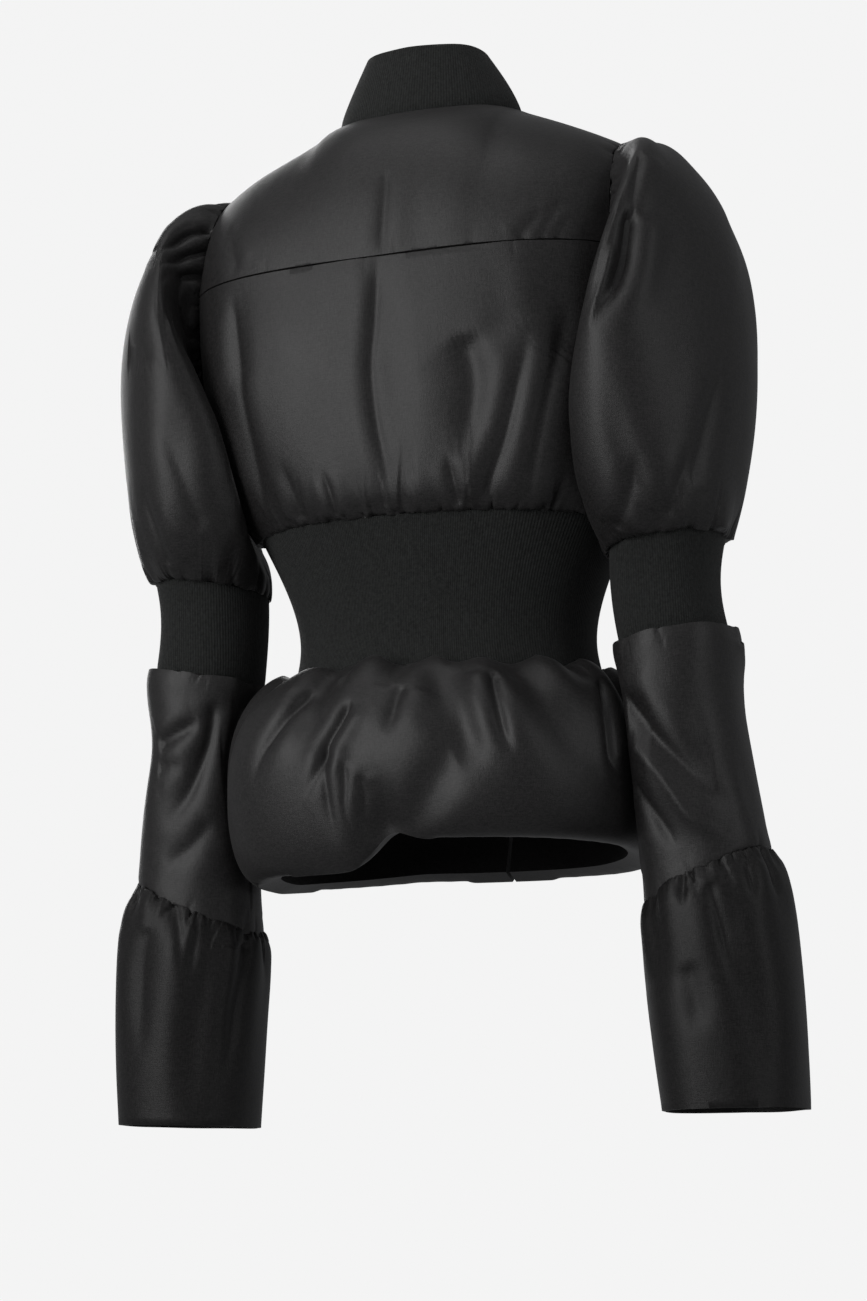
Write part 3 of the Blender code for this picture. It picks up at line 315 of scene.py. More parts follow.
def deselect():
    if bpy.context.object and bpy.context.object.mode != "OBJECT":
        bpy.ops.object.mode_set(mode="OBJECT")
    bpy.ops.object.select_all(action="DESELECT")


def take(piece):
    deselect()
    piece.select_set(True)
    bpy.context.view_layer.objects.active = piece


def edit(piece):
    """Edit mode with all of the piece selected."""
    take(piece)
    bpy.ops.object.mode_set(mode="EDIT")
    bpy.ops.mesh.select_all(action="SELECT")


def vectors_of(items, name):
    vectors = np.empty(len(items) * 3, np.float32)
    items.foreach_get(name, vectors)
    return vectors.reshape(-1, 3).astype(float)


def points_of(piece):
    return vectors_of(piece.data.vertices, "co")


def place_points(piece, points):
    piece.data.vertices.foreach_set("co", points.astype(np.float32).ravel())
    piece.data.update()


def smooth_step(low, high, value):
    share = np.clip((value - low) / (high - low), 0, 1)
    return share * share * (3 - 2 * share)


def away_from(points, core):
    """Unit vectors from the nearest place on a core line to each point."""
    line = np.array(CORES[core])
    best = np.full(len(points), np.inf)
    away = np.zeros_like(points)
    for start, end in zip(line[:-1], line[1:]):
        along = end - start
        share = np.clip((points - start) @ along / (along @ along), 0, 1)
        gap = points - start - share[:, None] * along
        size = (gap * gap).sum(1)
        nearer = size < best
        best[nearer] = size[nearer]
        away[nearer] = gap[nearer]
    return away / np.maximum(np.sqrt(best), 1e-9)[:, None]


def cloth_copy(node, name, core, levels):
    """A finer copy of a cloth solid, and samples along the edges of its outer side."""
    piece = bpy.data.objects.new(name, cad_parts[node].data.copy())
    bpy.context.scene.collection.objects.link(piece)
    take(piece)
    piece.data.materials.clear()
    bpy.ops.mesh.customdata_custom_splitnormals_clear()
    edit(piece)
    bpy.ops.mesh.remove_doubles(threshold=0.00001)
    bpy.ops.mesh.tris_convert_to_quads(
        face_threshold=math.radians(40), shape_threshold=math.radians(60)
    )
    bpy.ops.mesh.select_all(action="DESELECT")
    bpy.ops.object.mode_set(mode="OBJECT")
    mesh = piece.data
    points = points_of(piece)
    facing = np.array([face.normal for face in mesh.polygons])
    middle = np.array([face.center for face in mesh.polygons])
    outward = (facing * away_from(middle, core)).sum(1)
    faces_at = {}
    for face in mesh.polygons:
        for key in face.edge_keys:
            faces_at.setdefault(key, []).append(face.index)
    crease = mesh.attributes.new("crease_edge", "FLOAT", "EDGE")
    samples = []
    for edge in mesh.edges:
        faces = faces_at.get(tuple(sorted(edge.vertices)), ())
        if len(faces) != 2:
            continue
        one, two = faces
        if facing[one] @ facing[two] < SHARP_TURN and min(outward[one], outward[two]) < OUTER_FACE:
            crease.data[edge.index].value = 1.0
        if max(outward[one], outward[two]) > RIM_FACE:
            start, end = points[edge.vertices[0]], points[edge.vertices[1]]
            count = max(2, int(np.linalg.norm(end - start) / SAMPLE_STEP))
            along = np.linspace(0, 1, count, endpoint=False)[:, None]
            samples.append(start + (end - start) * along)
    finer = piece.modifiers.new("Finer", "SUBSURF")
    finer.levels = finer.render_levels = levels
    bpy.ops.object.modifier_apply(modifier=finer.name)
    return piece, np.concatenate(samples)


def seam_of(samples, nodes):
    """The samples that lie against other solids: where the piece is sewn to them."""
    close = np.zeros(len(samples), bool)
    for node in nodes:
        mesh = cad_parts[node].data
        corners = np.array([corner.co[:] for corner in mesh.vertices])
        low, high = corners.min(0) - SEAM_GAP, corners.max(0) + SEAM_GAP
        tree = bvhtree.BVHTree.FromPolygons(
            corners.tolist(), [tuple(face.vertices) for face in mesh.polygons]
        )
        inside = (samples > low).all(1) & (samples < high).all(1)
        for number in np.flatnonzero(~close & inside):
            close[number] = tree.find_nearest(samples[number], SEAM_GAP)[0] is not None
    return samples[close]


def along_seam(samples):
    """The samples of one seam in order round their middle, and the length up to each."""
    middle = samples.mean(0)
    axes = np.linalg.svd(samples - middle, full_matrices=False)[2]
    flat = (samples - middle) @ axes[:2].T
    angle = np.arctan2(flat[:, 1], flat[:, 0])
    order = np.argsort(angle)
    gaps = np.diff(np.append(angle[order], angle[order[0]] + 2 * math.pi))
    order = np.roll(order, -(int(np.argmax(gaps)) + 1))
    samples = samples[order]
    window = min(SEAM_WINDOW, len(samples) // 4 * 2 + 1)
    padded = np.pad(samples, ((window // 2, window // 2), (0, 0)), mode="edge")
    path = np.stack(
        [np.convolve(padded[:, k], np.ones(window) / window, "valid") for k in range(3)], 1
    )
    steps = np.linalg.norm(np.diff(path, axis=0), axis=1)
    return samples, np.concatenate([[0], np.cumsum(steps)])


def near_line(points, wanted, line, reach):
    """The numbers of the wanted points within a box round a line of points."""
    low, high = line.min(0) - reach, line.max(0) + reach
    return np.flatnonzero(wanted & (points > low).all(1) & (points < high).all(1))


def from_seam(points, wanted, samples, reach):
    """The wanted points near a seam: their numbers, distances from it and nearest samples."""
    close = near_line(points, wanted, samples, reach)
    tree = kdtree.KDTree(len(samples))
    for number, sample in enumerate(samples):
        tree.insert(sample, number)
    tree.balance()
    found = [tree.find(points[number]) for number in close]
    distance = np.array([hit[2] for hit in found])
    return close, distance, np.array([hit[1] for hit in found], int)


def pucker(points, wanted, samples, run, depth_scale):
    """How far each point moves out, and up, for a seam's puckers: valleys between full cloth."""
    moved, raised = np.zeros(len(points)), np.zeros(len(points))
    samples, lengths = along_seam(samples)
    close, distance, nearest = from_seam(points, wanted, samples, run.reach * 1.5)
    if not len(close):
        return moved, raised
    place, whole = lengths[nearest], lengths[-1] + SAMPLE_STEP
    random = np.random.default_rng(run.seed)
    steps = random.uniform(*SPACING, run.count)
    places = (np.cumsum(steps) - steps[0] * random.uniform()) / steps.sum() * whole
    total, notch = np.zeros(len(close)), np.zeros(len(close))
    for middle in places:
        # Each pucker has a depth, width, reach, slope and bend of its own
        depth = run.depth * random.uniform(*DEPTHS)
        width = run.width * random.uniform(*WIDTHS)
        reach = run.reach * random.uniform(*REACHES) ** 0.8 * 1.3
        slope, bend = random.normal(0, SLANT), random.normal(0, BEND)
        share = distance / reach
        aside = place - middle - slope * distance - bend * distance**2
        aside = (aside + whole / 2) % whole - whole / 2
        wide = width * (0.5 + 1.3 * np.minimum(share, 1))
        valley = (1 - smooth_step(0, 1, share)) / (1 + (aside / wide) ** 2) ** 1.4
        total -= depth * valley
        notch += valley * depth / run.depth
    total += run.depth * PUFF * (1 - smooth_step(0, 1, distance / (run.reach * 0.8)))
    moved[close] = total * depth_scale
    full = np.clip(1 - notch, 0, 1) * np.exp(-((distance / HANG_REACH) ** 2))
    raised[close] = run.overhang * full
    return moved, raised


def seam_dip(points, wanted, samples, depth):
    """How far each point moves in beside the sewn seams."""
    moved = np.zeros(len(points))
    close, distance, _ = from_seam(points, wanted, samples, SEAM_SHADOW * 4)
    if len(close):
        moved[close] = -depth * np.exp(-((distance / SEAM_SHADOW) ** 1.2))
    return moved


def crease_line(line):
    """A smooth line through a crease's points, in metres."""
    line = np.array(line, float) * MM
    at = np.linspace(0, len(line) - 1, 14 * len(line))
    low = np.minimum(at.astype(int), len(line) - 2)
    share = (at - low)[:, None]
    before, after = np.maximum(low - 1, 0), np.minimum(low + 2, len(line) - 1)
    start, end = line[low], line[low + 1]
    return 0.5 * (
        2 * start
        + (end - line[before]) * share
        + (2 * line[before] - 5 * start + 4 * end - line[after]) * share**2
        + (3 * start - line[before] - 3 * end + line[after]) * share**3
    )


def crease_move(points, facing, wanted, crease, scale):
    """How far each point moves out for one crease: a valley with cloth pushed up beside it."""
    moved = np.zeros(len(points))
    line = crease_line(crease.points)
    width, depth = crease.width * MM, crease.depth * MM
    close = near_line(points, wanted, line, width * 5)
    if not len(close):
        return moved
    gaps = points[close, None, :] - line[None, :, :]
    nearest = (gaps**2).sum(2).argmin(1)
    tangent = np.gradient(line, axis=0)
    tangent /= np.linalg.norm(tangent, axis=1)[:, None]
    gap = gaps[np.arange(len(close)), nearest]
    aside = (np.cross(facing[close], tangent[nearest]) * gap).sum(1)
    past_end = np.abs((gap * tangent[nearest]).sum(1))
    share = nearest / (len(line) - 1)
    fade = smooth_step(0, CREASE_IN, share + 0.02) * smooth_step(0, CREASE_OUT, 1.02 - share)
    fade *= np.exp(-((past_end / (width * 1.5)) ** 2))
    valley = depth / (1 + (aside / width) ** 2) ** 2
    aside, middle = aside / width, SHOULDER_AT
    beside = crease.left * np.exp(-((aside + middle) / SHOULDER_WIDE) ** 2)
    beside = beside + crease.right * np.exp(-((aside - middle) / SHOULDER_WIDE) ** 2)
    moved[close] = fade * (beside * MM - valley) * scale
    return moved


def soft_waves(points, seed, sizes, height):
    """Slow uneven rises and dips."""
    random = np.random.default_rng(seed)
    total = np.zeros(len(points))
    for size in sizes:
        for _ in range(WAVES_PER_SIZE):
            way = random.normal(size=3)
            way = way / np.linalg.norm(way) * WAVE_STRETCH * 2 * math.pi / size
            total += np.sin(points @ way + random.uniform(0, 6.283)) * size / sizes[0]
    return total / WAVES_PER_SIZE * height


def shape_cloth(piece, node, core, samples, waves, thin, dip):
    """Works gathers, creases and soft waves into a cloth piece's finer copy.

    A padded piece moves its outer face alone, and a thin one moves as one sheet.
    """
    look = bpy.context.scene.jacket_look
    points, facing = points_of(piece), vectors_of(piece.data.vertex_normals, "vector")
    away = away_from(points, core)
    outward = (facing * away).sum(1)
    ways = facing * outward[:, None] + CORE_PULL * away
    ways /= np.linalg.norm(ways, axis=1)[:, None]
    share = np.ones(len(points)) if thin else smooth_step(*OUTER_FADE, outward)
    wanted = share > 0
    moved, raised = np.zeros(len(points)), np.zeros(len(points))
    seams = {name: seam_of(samples, nodes) for name, nodes in EDGES[node].items()}
    for run in PUCKERS.get(node, ()):
        out, up = pucker(points, wanted, seams[run.edge], run, look.pucker_depth)
        moved, raised = moved + out, raised + up
    for crease in CREASES.get(node, ()):
        moved += crease_move(points, ways, wanted, crease, look.crease_depth)
    moved += soft_waves(points, *waves)
    moved += seam_dip(points, wanted, np.concatenate(list(seams.values())), dip)
    points = points + ways * (moved * share)[:, None]
    points[:, 2] += raised * smooth_step(*HANG_FADE, outward)
    place_points(piece, points)
    return seams


def work_cloth(node, kind, core, waves, thin=False, dip=PADDED_DIP, levels=FINER_LEVELS):
    """A cloth piece from its solid, worked, standing for it, and its seams."""
    piece, samples = cloth_copy(node, node + "_" + kind, core, levels)
    seams = shape_cloth(piece, node, core, samples, waves, thin, dip)
    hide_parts(node)
    return piece, seams


def tuck(piece, edge, shift, reach=0.004):
    """Carries one edge of a piece under its neighbour, so that no light comes through the seam."""
    points = points_of(piece)
    close, distance, _ = from_seam(points, np.ones(len(points), bool), edge, reach * 3)
    points[close] += np.exp(-((distance / reach) ** 2))[:, None] * np.array(shift)
    place_points(piece, points)


# ---------------------------------------------------------------- finishes
SMOOTH_TURN = math.radians(62)  # edges of cloth that turn by less are shaded smooth
TOOTH_TURN = math.radians(30)


def new_material(name):
    material = bpy.data.materials.new(name)
    material.use_nodes = True
    tree = material.node_tree
    return material, tree, tree.nodes["Principled BSDF"]


def give(node, values):
    """Sets a node's inputs by name."""
    for name, value in values.items():
        node.inputs[name].default_value = value


def put(tree, kind, links=(), values=(), **settings):
    """A node with its settings, its inputs' values and links from other nodes' outputs."""
    node = tree.nodes.new(kind)
    for name, value in settings.items():
        setattr(node, name, value)
    give(node, dict(values))
    for source, target in links:
        tree.links.new(source, node.inputs[target])
    return node


def places(tree, scale=None):
    """The piece's own coordinates, stretched by a scale."""
    place = put(tree, "ShaderNodeTexCoord").outputs["Object"]
    if scale is None:
        return place
    return put(tree, "ShaderNodeMapping", [(place, "Vector")], {"Scale": scale}).outputs["Vector"]


def noise(tree, place, scale, detail, roughness=0.5):
    values = {"Scale": scale, "Detail": detail, "Roughness": roughness}
    return put(tree, "ShaderNodeTexNoise", [(place, "Vector")], values).outputs["Fac"]


def spread(tree, value, **ends):
    """A value carried from one range to another."""
    values = {name.replace("_", " ").title(): end for name, end in ends.items()}
    return put(tree, "ShaderNodeMapRange", [(value, "Value")], values).outputs["Result"]


def shades(tree, shader, factor, colour, dark, light):
    """The base colour: from a darker to a lighter shade of one colour."""
    mix = put(tree, "ShaderNodeMix", data_type="RGBA")
    tree.links.new(factor, mix.inputs["Factor"])
    mix.inputs["A"].default_value = (*(v * dark for v in colour), 1)
    mix.inputs["B"].default_value = (*(v * light for v in colour), 1)
    tree.links.new(mix.outputs["Result"], shader.inputs["Base Color"])


def raise_up(tree, height, strength, distance, below=None):
    """A bump from a height, over another bump."""
    links = [(height, "Height")] + ([(below, "Normal")] if below else [])
    values = {"Strength": strength, "Distance": distance}
    return put(tree, "ShaderNodeBump", links, values).outputs["Normal"]


def make_satin(look, name, gloss=0.42, shade_tone=1.0):
    """Padded satin: a soft broad sheen, the speckle of its threads and the wadding's dents."""
    material, tree, shader = new_material(name)
    place = places(tree)
    patches = noise(tree, place, 22, 3)
    # Threads: a speckle longer up and down, and one longer across
    warp = noise(tree, places(tree, (1.0, 1.0, 0.22)), look.weave_lines, 2.0, 0.7)
    weft = noise(tree, places(tree, (0.22, 0.22, 1.0)), look.weave_lines, 2.0, 0.7)
    both = put(tree, "ShaderNodeMath", [(warp, 0), (weft, 1)], operation="ADD").outputs[0]
    weave = spread(tree, both, from_min=0.72, from_max=1.28)
    # A value below one darkens the colour: painted shade, used for the cuffs' satin.
    shades(tree, shader, weave, [v * shade_tone for v in look.satin_colour], 0.35, 1.9)
    rough = look.satin_roughness
    rough = spread(tree, patches, to_min=rough - 0.035, to_max=rough + 0.035)
    tree.links.new(rough, shader.inputs["Roughness"])
    give(shader, {
        "Specular IOR Level": gloss, "Sheen Weight": look.satin_sheen, "Sheen Roughness": 0.45,
    })
    dents = noise(tree, places(tree, (1.0, 1.0, 0.45)), 75, 2.5, 0.45)
    soft = raise_up(tree, dents, 0.12, 0.0012)
    tree.links.new(raise_up(tree, weave, 0.5, 0.00013, soft), shader.inputs["Normal"])
    return material


def make_shaded_satin(look, name):
    """The cuffs' satin, its colour darkened as painted shade for the dimmer light low on the cuffs,
    and less glossy.
    """
    return make_satin(look, name, gloss=0.27, shade_tone=0.72)


def make_knit(look, name):
    """Rib knit: matt yarn in columns of V-shaped stitches, from the piece's own map."""
    material, tree, shader = new_material(name)

    def maths(kind, *values):
        node = put(tree, "ShaderNodeMath", operation=kind)
        for number, value in enumerate(values):
            if isinstance(value, (int, float)):
                node.inputs[number].default_value = value
            else:
                tree.links.new(value, node.inputs[number])
        return node.outputs[0]

    wrap = put(tree, "ShaderNodeUVMap", uv_map="ribs").outputs["UV"]
    parts = put(tree, "ShaderNodeSeparateXYZ", [(wrap, "Vector")]).outputs
    place = places(tree)
    # The ribs, and the stitches that slant down from each rib's middle
    from_middle = maths("ABSOLUTE", maths("SUBTRACT", maths("FRACT", parts["X"]), 0.5))
    rib = maths("COSINE", maths("MULTIPLY", from_middle, 6.2832))
    slant = maths("ADD", parts["Y"], maths("MULTIPLY", from_middle, 1.3))
    stitch = maths("SINE", maths("MULTIPLY", slant, 6.2832))
    height = maths("ADD", maths("MULTIPLY", rib, 0.75), maths("MULTIPLY", stitch, 0.22))
    fuzz = maths("MULTIPLY", noise(tree, place, 900, 2), 1.5)
    bumps = raise_up(tree, maths("ADD", height, fuzz), 0.65, 0.00028)
    tree.links.new(bumps, shader.inputs["Normal"])
    # The yarn's own light and dark speckle, with painted shade in the valleys between the ribs and
    # painted light on their tops
    yarn = noise(tree, place, 430, 3, 0.7)
    speckle = maths("MULTIPLY", maths("SUBTRACT", yarn, 0.5), 2.6)
    speckle_and_rib_shade = maths("ADD", maths("ADD", speckle, 0.5), maths("MULTIPLY", rib, 0.10))
    shades(tree, shader, speckle_and_rib_shade, look.knit_colour, 0.42, 1.65)
    give(shader, {
        "Roughness": 0.88, "Specular IOR Level": 0.25, "Sheen Weight": 0.05, "Sheen Roughness": 0.6,
    })
    return material


def make_metal(look, name):
    """Dark plated metal, brushed lengthwise, its colour and roughness varying along the brushing.
    """
    material, tree, shader = new_material(name)
    grain = noise(tree, places(tree, (6.0, 6.0, 0.8)), 700, 3)
    shades(tree, shader, grain, look.metal_colour, 0.7, 1.3)
    tree.links.new(spread(tree, grain, to_min=0.24, to_max=0.42), shader.inputs["Roughness"])
    shader.inputs["Metallic"].default_value = 1.0
    tree.links.new(raise_up(tree, grain, 0.2, 0.00004), shader.inputs["Normal"])
    return material


def make_tape(look, name):
    """The zip's woven tape."""
    material, tree, shader = new_material(name)
    links, values = [(places(tree), "Vector")], {"Scale": 420}
    weave = put(tree, "ShaderNodeTexWave", links, values, bands_direction="Z").outputs["Fac"]
    shades(tree, shader, weave, (0.01, 0.01, 0.01), 0.7, 1.6)
    shader.inputs["Roughness"].default_value = 0.8
    tree.links.new(raise_up(tree, weave, 0.4, 0.0001), shader.inputs["Normal"])
    return material


# Each finish: its material's name, and what makes it
FINISHES = {
    "satin": ("black_satin", make_satin),
    # The cuffs' satin: the satin darkened by painted shade.
    "cross_satin": ("black_satin_across", make_shaded_satin),
    "knit": ("black_rib_knit", make_knit),
    "metal": ("dark_zip_metal", make_metal),
    "tape": ("zip_tape", make_tape),
}


def finish_of(kind):
    name, make = FINISHES[kind]
    return bpy.data.materials.get(name) or make(bpy.context.scene.jacket_look, name)


def dress(piece, kind):
    """Smooth shading, the finish, and the body that the piece moves with."""
    piece.data.materials.clear()
    piece.data.materials.append(finish_of(kind))
    take(piece)
    bpy.ops.object.shade_smooth_by_angle(angle=SMOOTH_TURN)
    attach(piece, BODY)


def loops_of(items, name):
    values = np.empty(len(items), np.int32)
    items.foreach_get(name, values)
    return values


def map_ribs(piece, core, pitch, course):
    """A map for the knit: ribs counted round the piece's core, and stitch rows counted up it."""
    points = points_of(piece)
    line = np.array(sorted(CORES[core], key=lambda place: place[2]))
    x = points[:, 0] - np.interp(points[:, 2], line[:, 2], line[:, 0])
    y = points[:, 1] - np.interp(points[:, 2], line[:, 2], line[:, 1])
    turn = np.arctan2(y, x) / (2 * math.pi)
    ribs = round(np.median(np.hypot(x, y)) * 2 * math.pi / pitch)
    mesh = piece.data
    corner = loops_of(mesh.loops, "vertex_index")
    start = loops_of(mesh.polygons, "loop_start")
    face = np.repeat(np.arange(len(start)), loops_of(mesh.polygons, "loop_total"))
    share = turn[corner]
    # A face across the place where the turn starts again keeps its corners together
    highest = np.maximum.reduceat(share, start)
    share = np.where(highest[face] - share > 0.5, share + 1, share)
    layer = mesh.uv_layers.new(name="ribs")
    flat = np.stack([share * ribs, points[corner, 2] / course], 1)
    layer.uv.foreach_set("vector", flat.astype(np.float32).ravel())




# ---------------------------------------------------------------- what a user can change
class JacketLook(bpy.types.PropertyGroup):
    """The jacket's finishes and how strongly its cloth is worked."""

    satin_colour: bpy.props.FloatVectorProperty(
        name="Satin colour", description="Colour of the satin", subtype="COLOR",
        size=3, min=0, max=1, default=(0.0104, 0.0097, 0.0098),
    )
    satin_roughness: bpy.props.FloatProperty(
        name="Satin roughness", description="How broad the satin's sheen is",
        subtype="FACTOR", min=0.1, max=0.9, default=0.48,
    )
    satin_sheen: bpy.props.FloatProperty(
        name="Satin sheen", description="Soft light along the satin's edges",
        subtype="FACTOR", min=0, max=1, default=0.03,
    )
    weave_lines: bpy.props.FloatProperty(
        name="Threads", description="How fine the speckle of the satin's threads is",
        min=100, max=2000, default=1050,
    )
    knit_colour: bpy.props.FloatVectorProperty(
        name="Knit colour", description="Colour of the rib knit", subtype="COLOR",
        size=3, min=0, max=1, default=(0.0120, 0.0128, 0.0122),
    )
    rib_pitch: bpy.props.FloatProperty(
        name="Rib pitch", description="Width of one rib of the knit", unit="LENGTH",
        subtype="DISTANCE", min=0.0008, max=0.01, default=0.0019,
    )
    stitch_height: bpy.props.FloatProperty(
        name="Stitch height", description="Height of one row of stitches", unit="LENGTH",
        subtype="DISTANCE", min=0.0005, max=0.01, default=0.0013,
    )
    metal_colour: bpy.props.FloatVectorProperty(
        name="Metal colour", description="Colour of the zip's metal", subtype="COLOR",
        size=3, min=0, max=1, default=(0.16, 0.16, 0.165),
    )
    pucker_depth: bpy.props.FloatProperty(
        name="Gather depth", description="How deep the gathers along the seams are",
        subtype="FACTOR", min=0, max=2, default=1.0,
    )
    crease_depth: bpy.props.FloatProperty(
        name="Crease depth", description="How deep the single creases are",
        subtype="FACTOR", min=0, max=2, default=1.0,
    )


class JacketStage(bpy.types.PropertyGroup):
    """The plain studio round the jacket."""

    floor_height: bpy.props.FloatProperty(
        name="Floor height", description="Height of the floor under the jacket", unit="LENGTH",
        subtype="DISTANCE", min=-3, max=-0.9, default=-1.43,
    )
    backdrop_colour: bpy.props.FloatVectorProperty(
        name="Backdrop colour", description="Colour of the floor and backdrop", subtype="COLOR",
        size=3, min=0, max=1, default=(0.86, 0.86, 0.86),
    )
    backdrop_glow: bpy.props.FloatProperty(
        name="Backdrop glow", description="How brightly the backdrop is lit by itself",
        min=0, max=2, default=1.02,
    )
    key_light: bpy.props.FloatProperty(
        name="Main light", description="Power of the main softbox", subtype="POWER",
        unit="POWER", min=0, max=2000, default=34,
    )
    sky_light: bpy.props.FloatProperty(
        name="Room light", description="Strength of the light from all round",
        min=0, max=5, default=0.22,
    )


# ---------------------------------------------------------------- the pieces
class JACKET_OT_body(bpy.types.Operator):
    """The back panel, the yoke and the two fronts in padded satin"""

    bl_idname = "jacket.body"
    bl_label = "Body"

    def execute(self, context):
        # One field of waves over all four, so that they stay level at their seams
        for node in ("back_panel", "back_yoke", "front_left", "front_right"):
            piece, _ = work_cloth(node, "satin", "body", (60, (0.075, 0.045), 0.0008))
            dress(piece, "satin")
        return {"FINISHED"}


class JACKET_OT_upper_sleeves(bpy.types.Operator):
    """The puffed upper sleeves, gathered at the armhole and above the elbow band"""

    bl_idname = "jacket.upper_sleeves"
    bl_label = "Upper sleeves"

    def execute(self, context):
        for seed, side in enumerate(SIDES, 70):
            piece, _ = work_cloth(
                "upper_sleeve_" + side, "satin", "arm_" + side, (seed, (0.080, 0.045), 0.0010)
            )
            dress(piece, "satin")
        return {"FINISHED"}


class JACKET_OT_peplum(bpy.types.Operator):
    """The filled peplum, gathered at the waist and rolled under at its hem"""

    bl_idname = "jacket.peplum"
    bl_label = "Peplum"

    def execute(self, context):
        piece, _ = work_cloth("peplum", "satin", "body", (80, (0.110, 0.060), 0.0008))
        dress(piece, "satin")
        return {"FINISHED"}


class JACKET_OT_lower_sleeves(bpy.types.Operator):
    """The satin lower sleeves"""

    bl_idname = "jacket.lower_sleeves"
    bl_label = "Lower sleeves"

    def execute(self, context):
        for seed, side in enumerate(SIDES, 90):
            piece, _ = work_cloth(
                "lower_sleeve_" + side, "satin", "arm_" + side, (seed, (0.070, 0.040), 0.0009),
                thin=True, dip=THIN_DIP,
            )
            dress(piece, "satin")
        return {"FINISHED"}


class JACKET_OT_cuffs(bpy.types.Operator):
    """The flared cuffs, gathered along their seams"""

    bl_idname = "jacket.cuffs"
    bl_label = "Cuffs"

    def execute(self, context):
        for seed, side in enumerate(SIDES, 95):
            piece, _ = work_cloth(
                "cuff_" + side, "satin", "arm_" + side, (seed, (0.095, 0.055), 0.0017),
                thin=True, dip=THIN_DIP,
            )
            # The cuffs take the satin darkened by painted shade.
            dress(piece, "cross_satin")
        return {"FINISHED"}


# Each knit piece: its solid, its core, how finely it is divided, its flat size and what it is on
KNITS = (
    ("collar", "collar", 2, (0.38, 0.075), ["back_yoke"]),
    ("waistband", "body", 3, (0.72, 0.13), ["back_panel"]),
    ("elbow_band_left", "arm_left", 2, (0.26, 0.08), ["upper_sleeve_left"]),
    ("elbow_band_right", "arm_right", 2, (0.26, 0.08), ["upper_sleeve_right"]),
)
COLLAR_TUCK = (0, 0, -0.0022)  # how far the collar's lower edge goes under the yoke and fronts


class JACKET_OT_knit(bpy.types.Operator):
    """The rib-knit collar, waistband and elbow bands"""

    bl_idname = "jacket.knit"
    bl_label = "Rib knit"

    def execute(self, context):
        look = context.scene.jacket_look
        for seed, (node, core, levels, flat, on) in enumerate(KNITS, 100):
            piece, seams = work_cloth(
                node, "knit", core, (seed, (0.060, 0.035), 0.0005),
                thin=True, dip=KNIT_DIP, levels=levels,
            )
            if node == "collar":
                tuck(piece, seams["neck"], COLLAR_TUCK)
            map_ribs(piece, core, look.rib_pitch, look.stitch_height)
            dress(piece, "knit")
        return {"FINISHED"}


TOOTH_SIZE = (0.0030, 0.0016, 0.00105)  # reach across the chain, depth and height
TOOTH_BEVEL = 0.00022
TOOTH_HEAD = 1.25  # how much higher a tooth is at its head
TOOTH_OUT = 0.00105  # how far a tooth's middle stands to its own side of the chain
TOOTH_IN = 0.0008  # how far it lies behind the chain's front
TOOTH_PITCH = 0.0025  # between the teeth of one side
CHAIN_ROW = 0.0016  # points of the strip this near in height are one row
CHAIN_END = 0.0004  # the tape stops this far inside the strip's ends
TAPE_HALF, TAPE_IN, TAPE_THICK, TAPE_ROWS = 0.00272, 0.0013, 0.0008, 83


def zip_tooth():
    """One tooth, modelled once: a bevelled block, higher at its head."""
    deselect()
    bpy.ops.mesh.primitive_cube_add(size=1, location=(0, 0, 0))
    tooth = bpy.context.object
    tooth.name = "zip_teeth"
    bpy.ops.object.mode_set(mode="EDIT")
    bpy.ops.transform.resize(value=TOOTH_SIZE)
    bpy.ops.mesh.bevel(offset=TOOTH_BEVEL, segments=1, affect="EDGES")
    bpy.ops.object.mode_set(mode="OBJECT")
    shape = points_of(tooth)
    shape[shape[:, 0] > 0, 2] *= TOOTH_HEAD
    return tooth, shape


def zip_rows():
    """What gives the zip strip's middle, front and back at a height, and its two ends."""
    points = points_of(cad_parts["zip_chain"])
    levels = np.unique(np.round(points[:, 2], 3))
    rows = [points[np.abs(points[:, 2] - level) < CHAIN_ROW] for level in levels]
    lines = (
        [row[:, 0].mean() for row in rows],
        [row[:, 1].min() for row in rows],
        [row[:, 1].max() for row in rows],
    )
    return lambda level: [np.interp(level, levels, line) for line in lines], levels[0], levels[-1]


def zip_tape(strip_at, low, high, first):
    """The tape behind the teeth: a closed band, its corners counted on from the first."""
    corners, faces = [], []
    for level in np.linspace(low, high, TAPE_ROWS):
        middle, near, far = strip_at(level)
        near = max(near + TAPE_IN, far - TAPE_THICK)
        left, right = middle - TAPE_HALF, middle + TAPE_HALF
        corners += [(left, near, level), (right, near, level)]
        corners += [(right, far, level), (left, far, level)]
    for row in range(first, first + len(corners) - 4, 4):
        for k in range(4):
            n = (k + 1) % 4
            faces.append((row + k, row + n, row + 4 + n, row + 4 + k))
    last = first + len(corners) - 4
    faces += [(first + 3, first + 2, first + 1, first), (last, last + 1, last + 2, last + 3)]
    return np.array(corners), faces


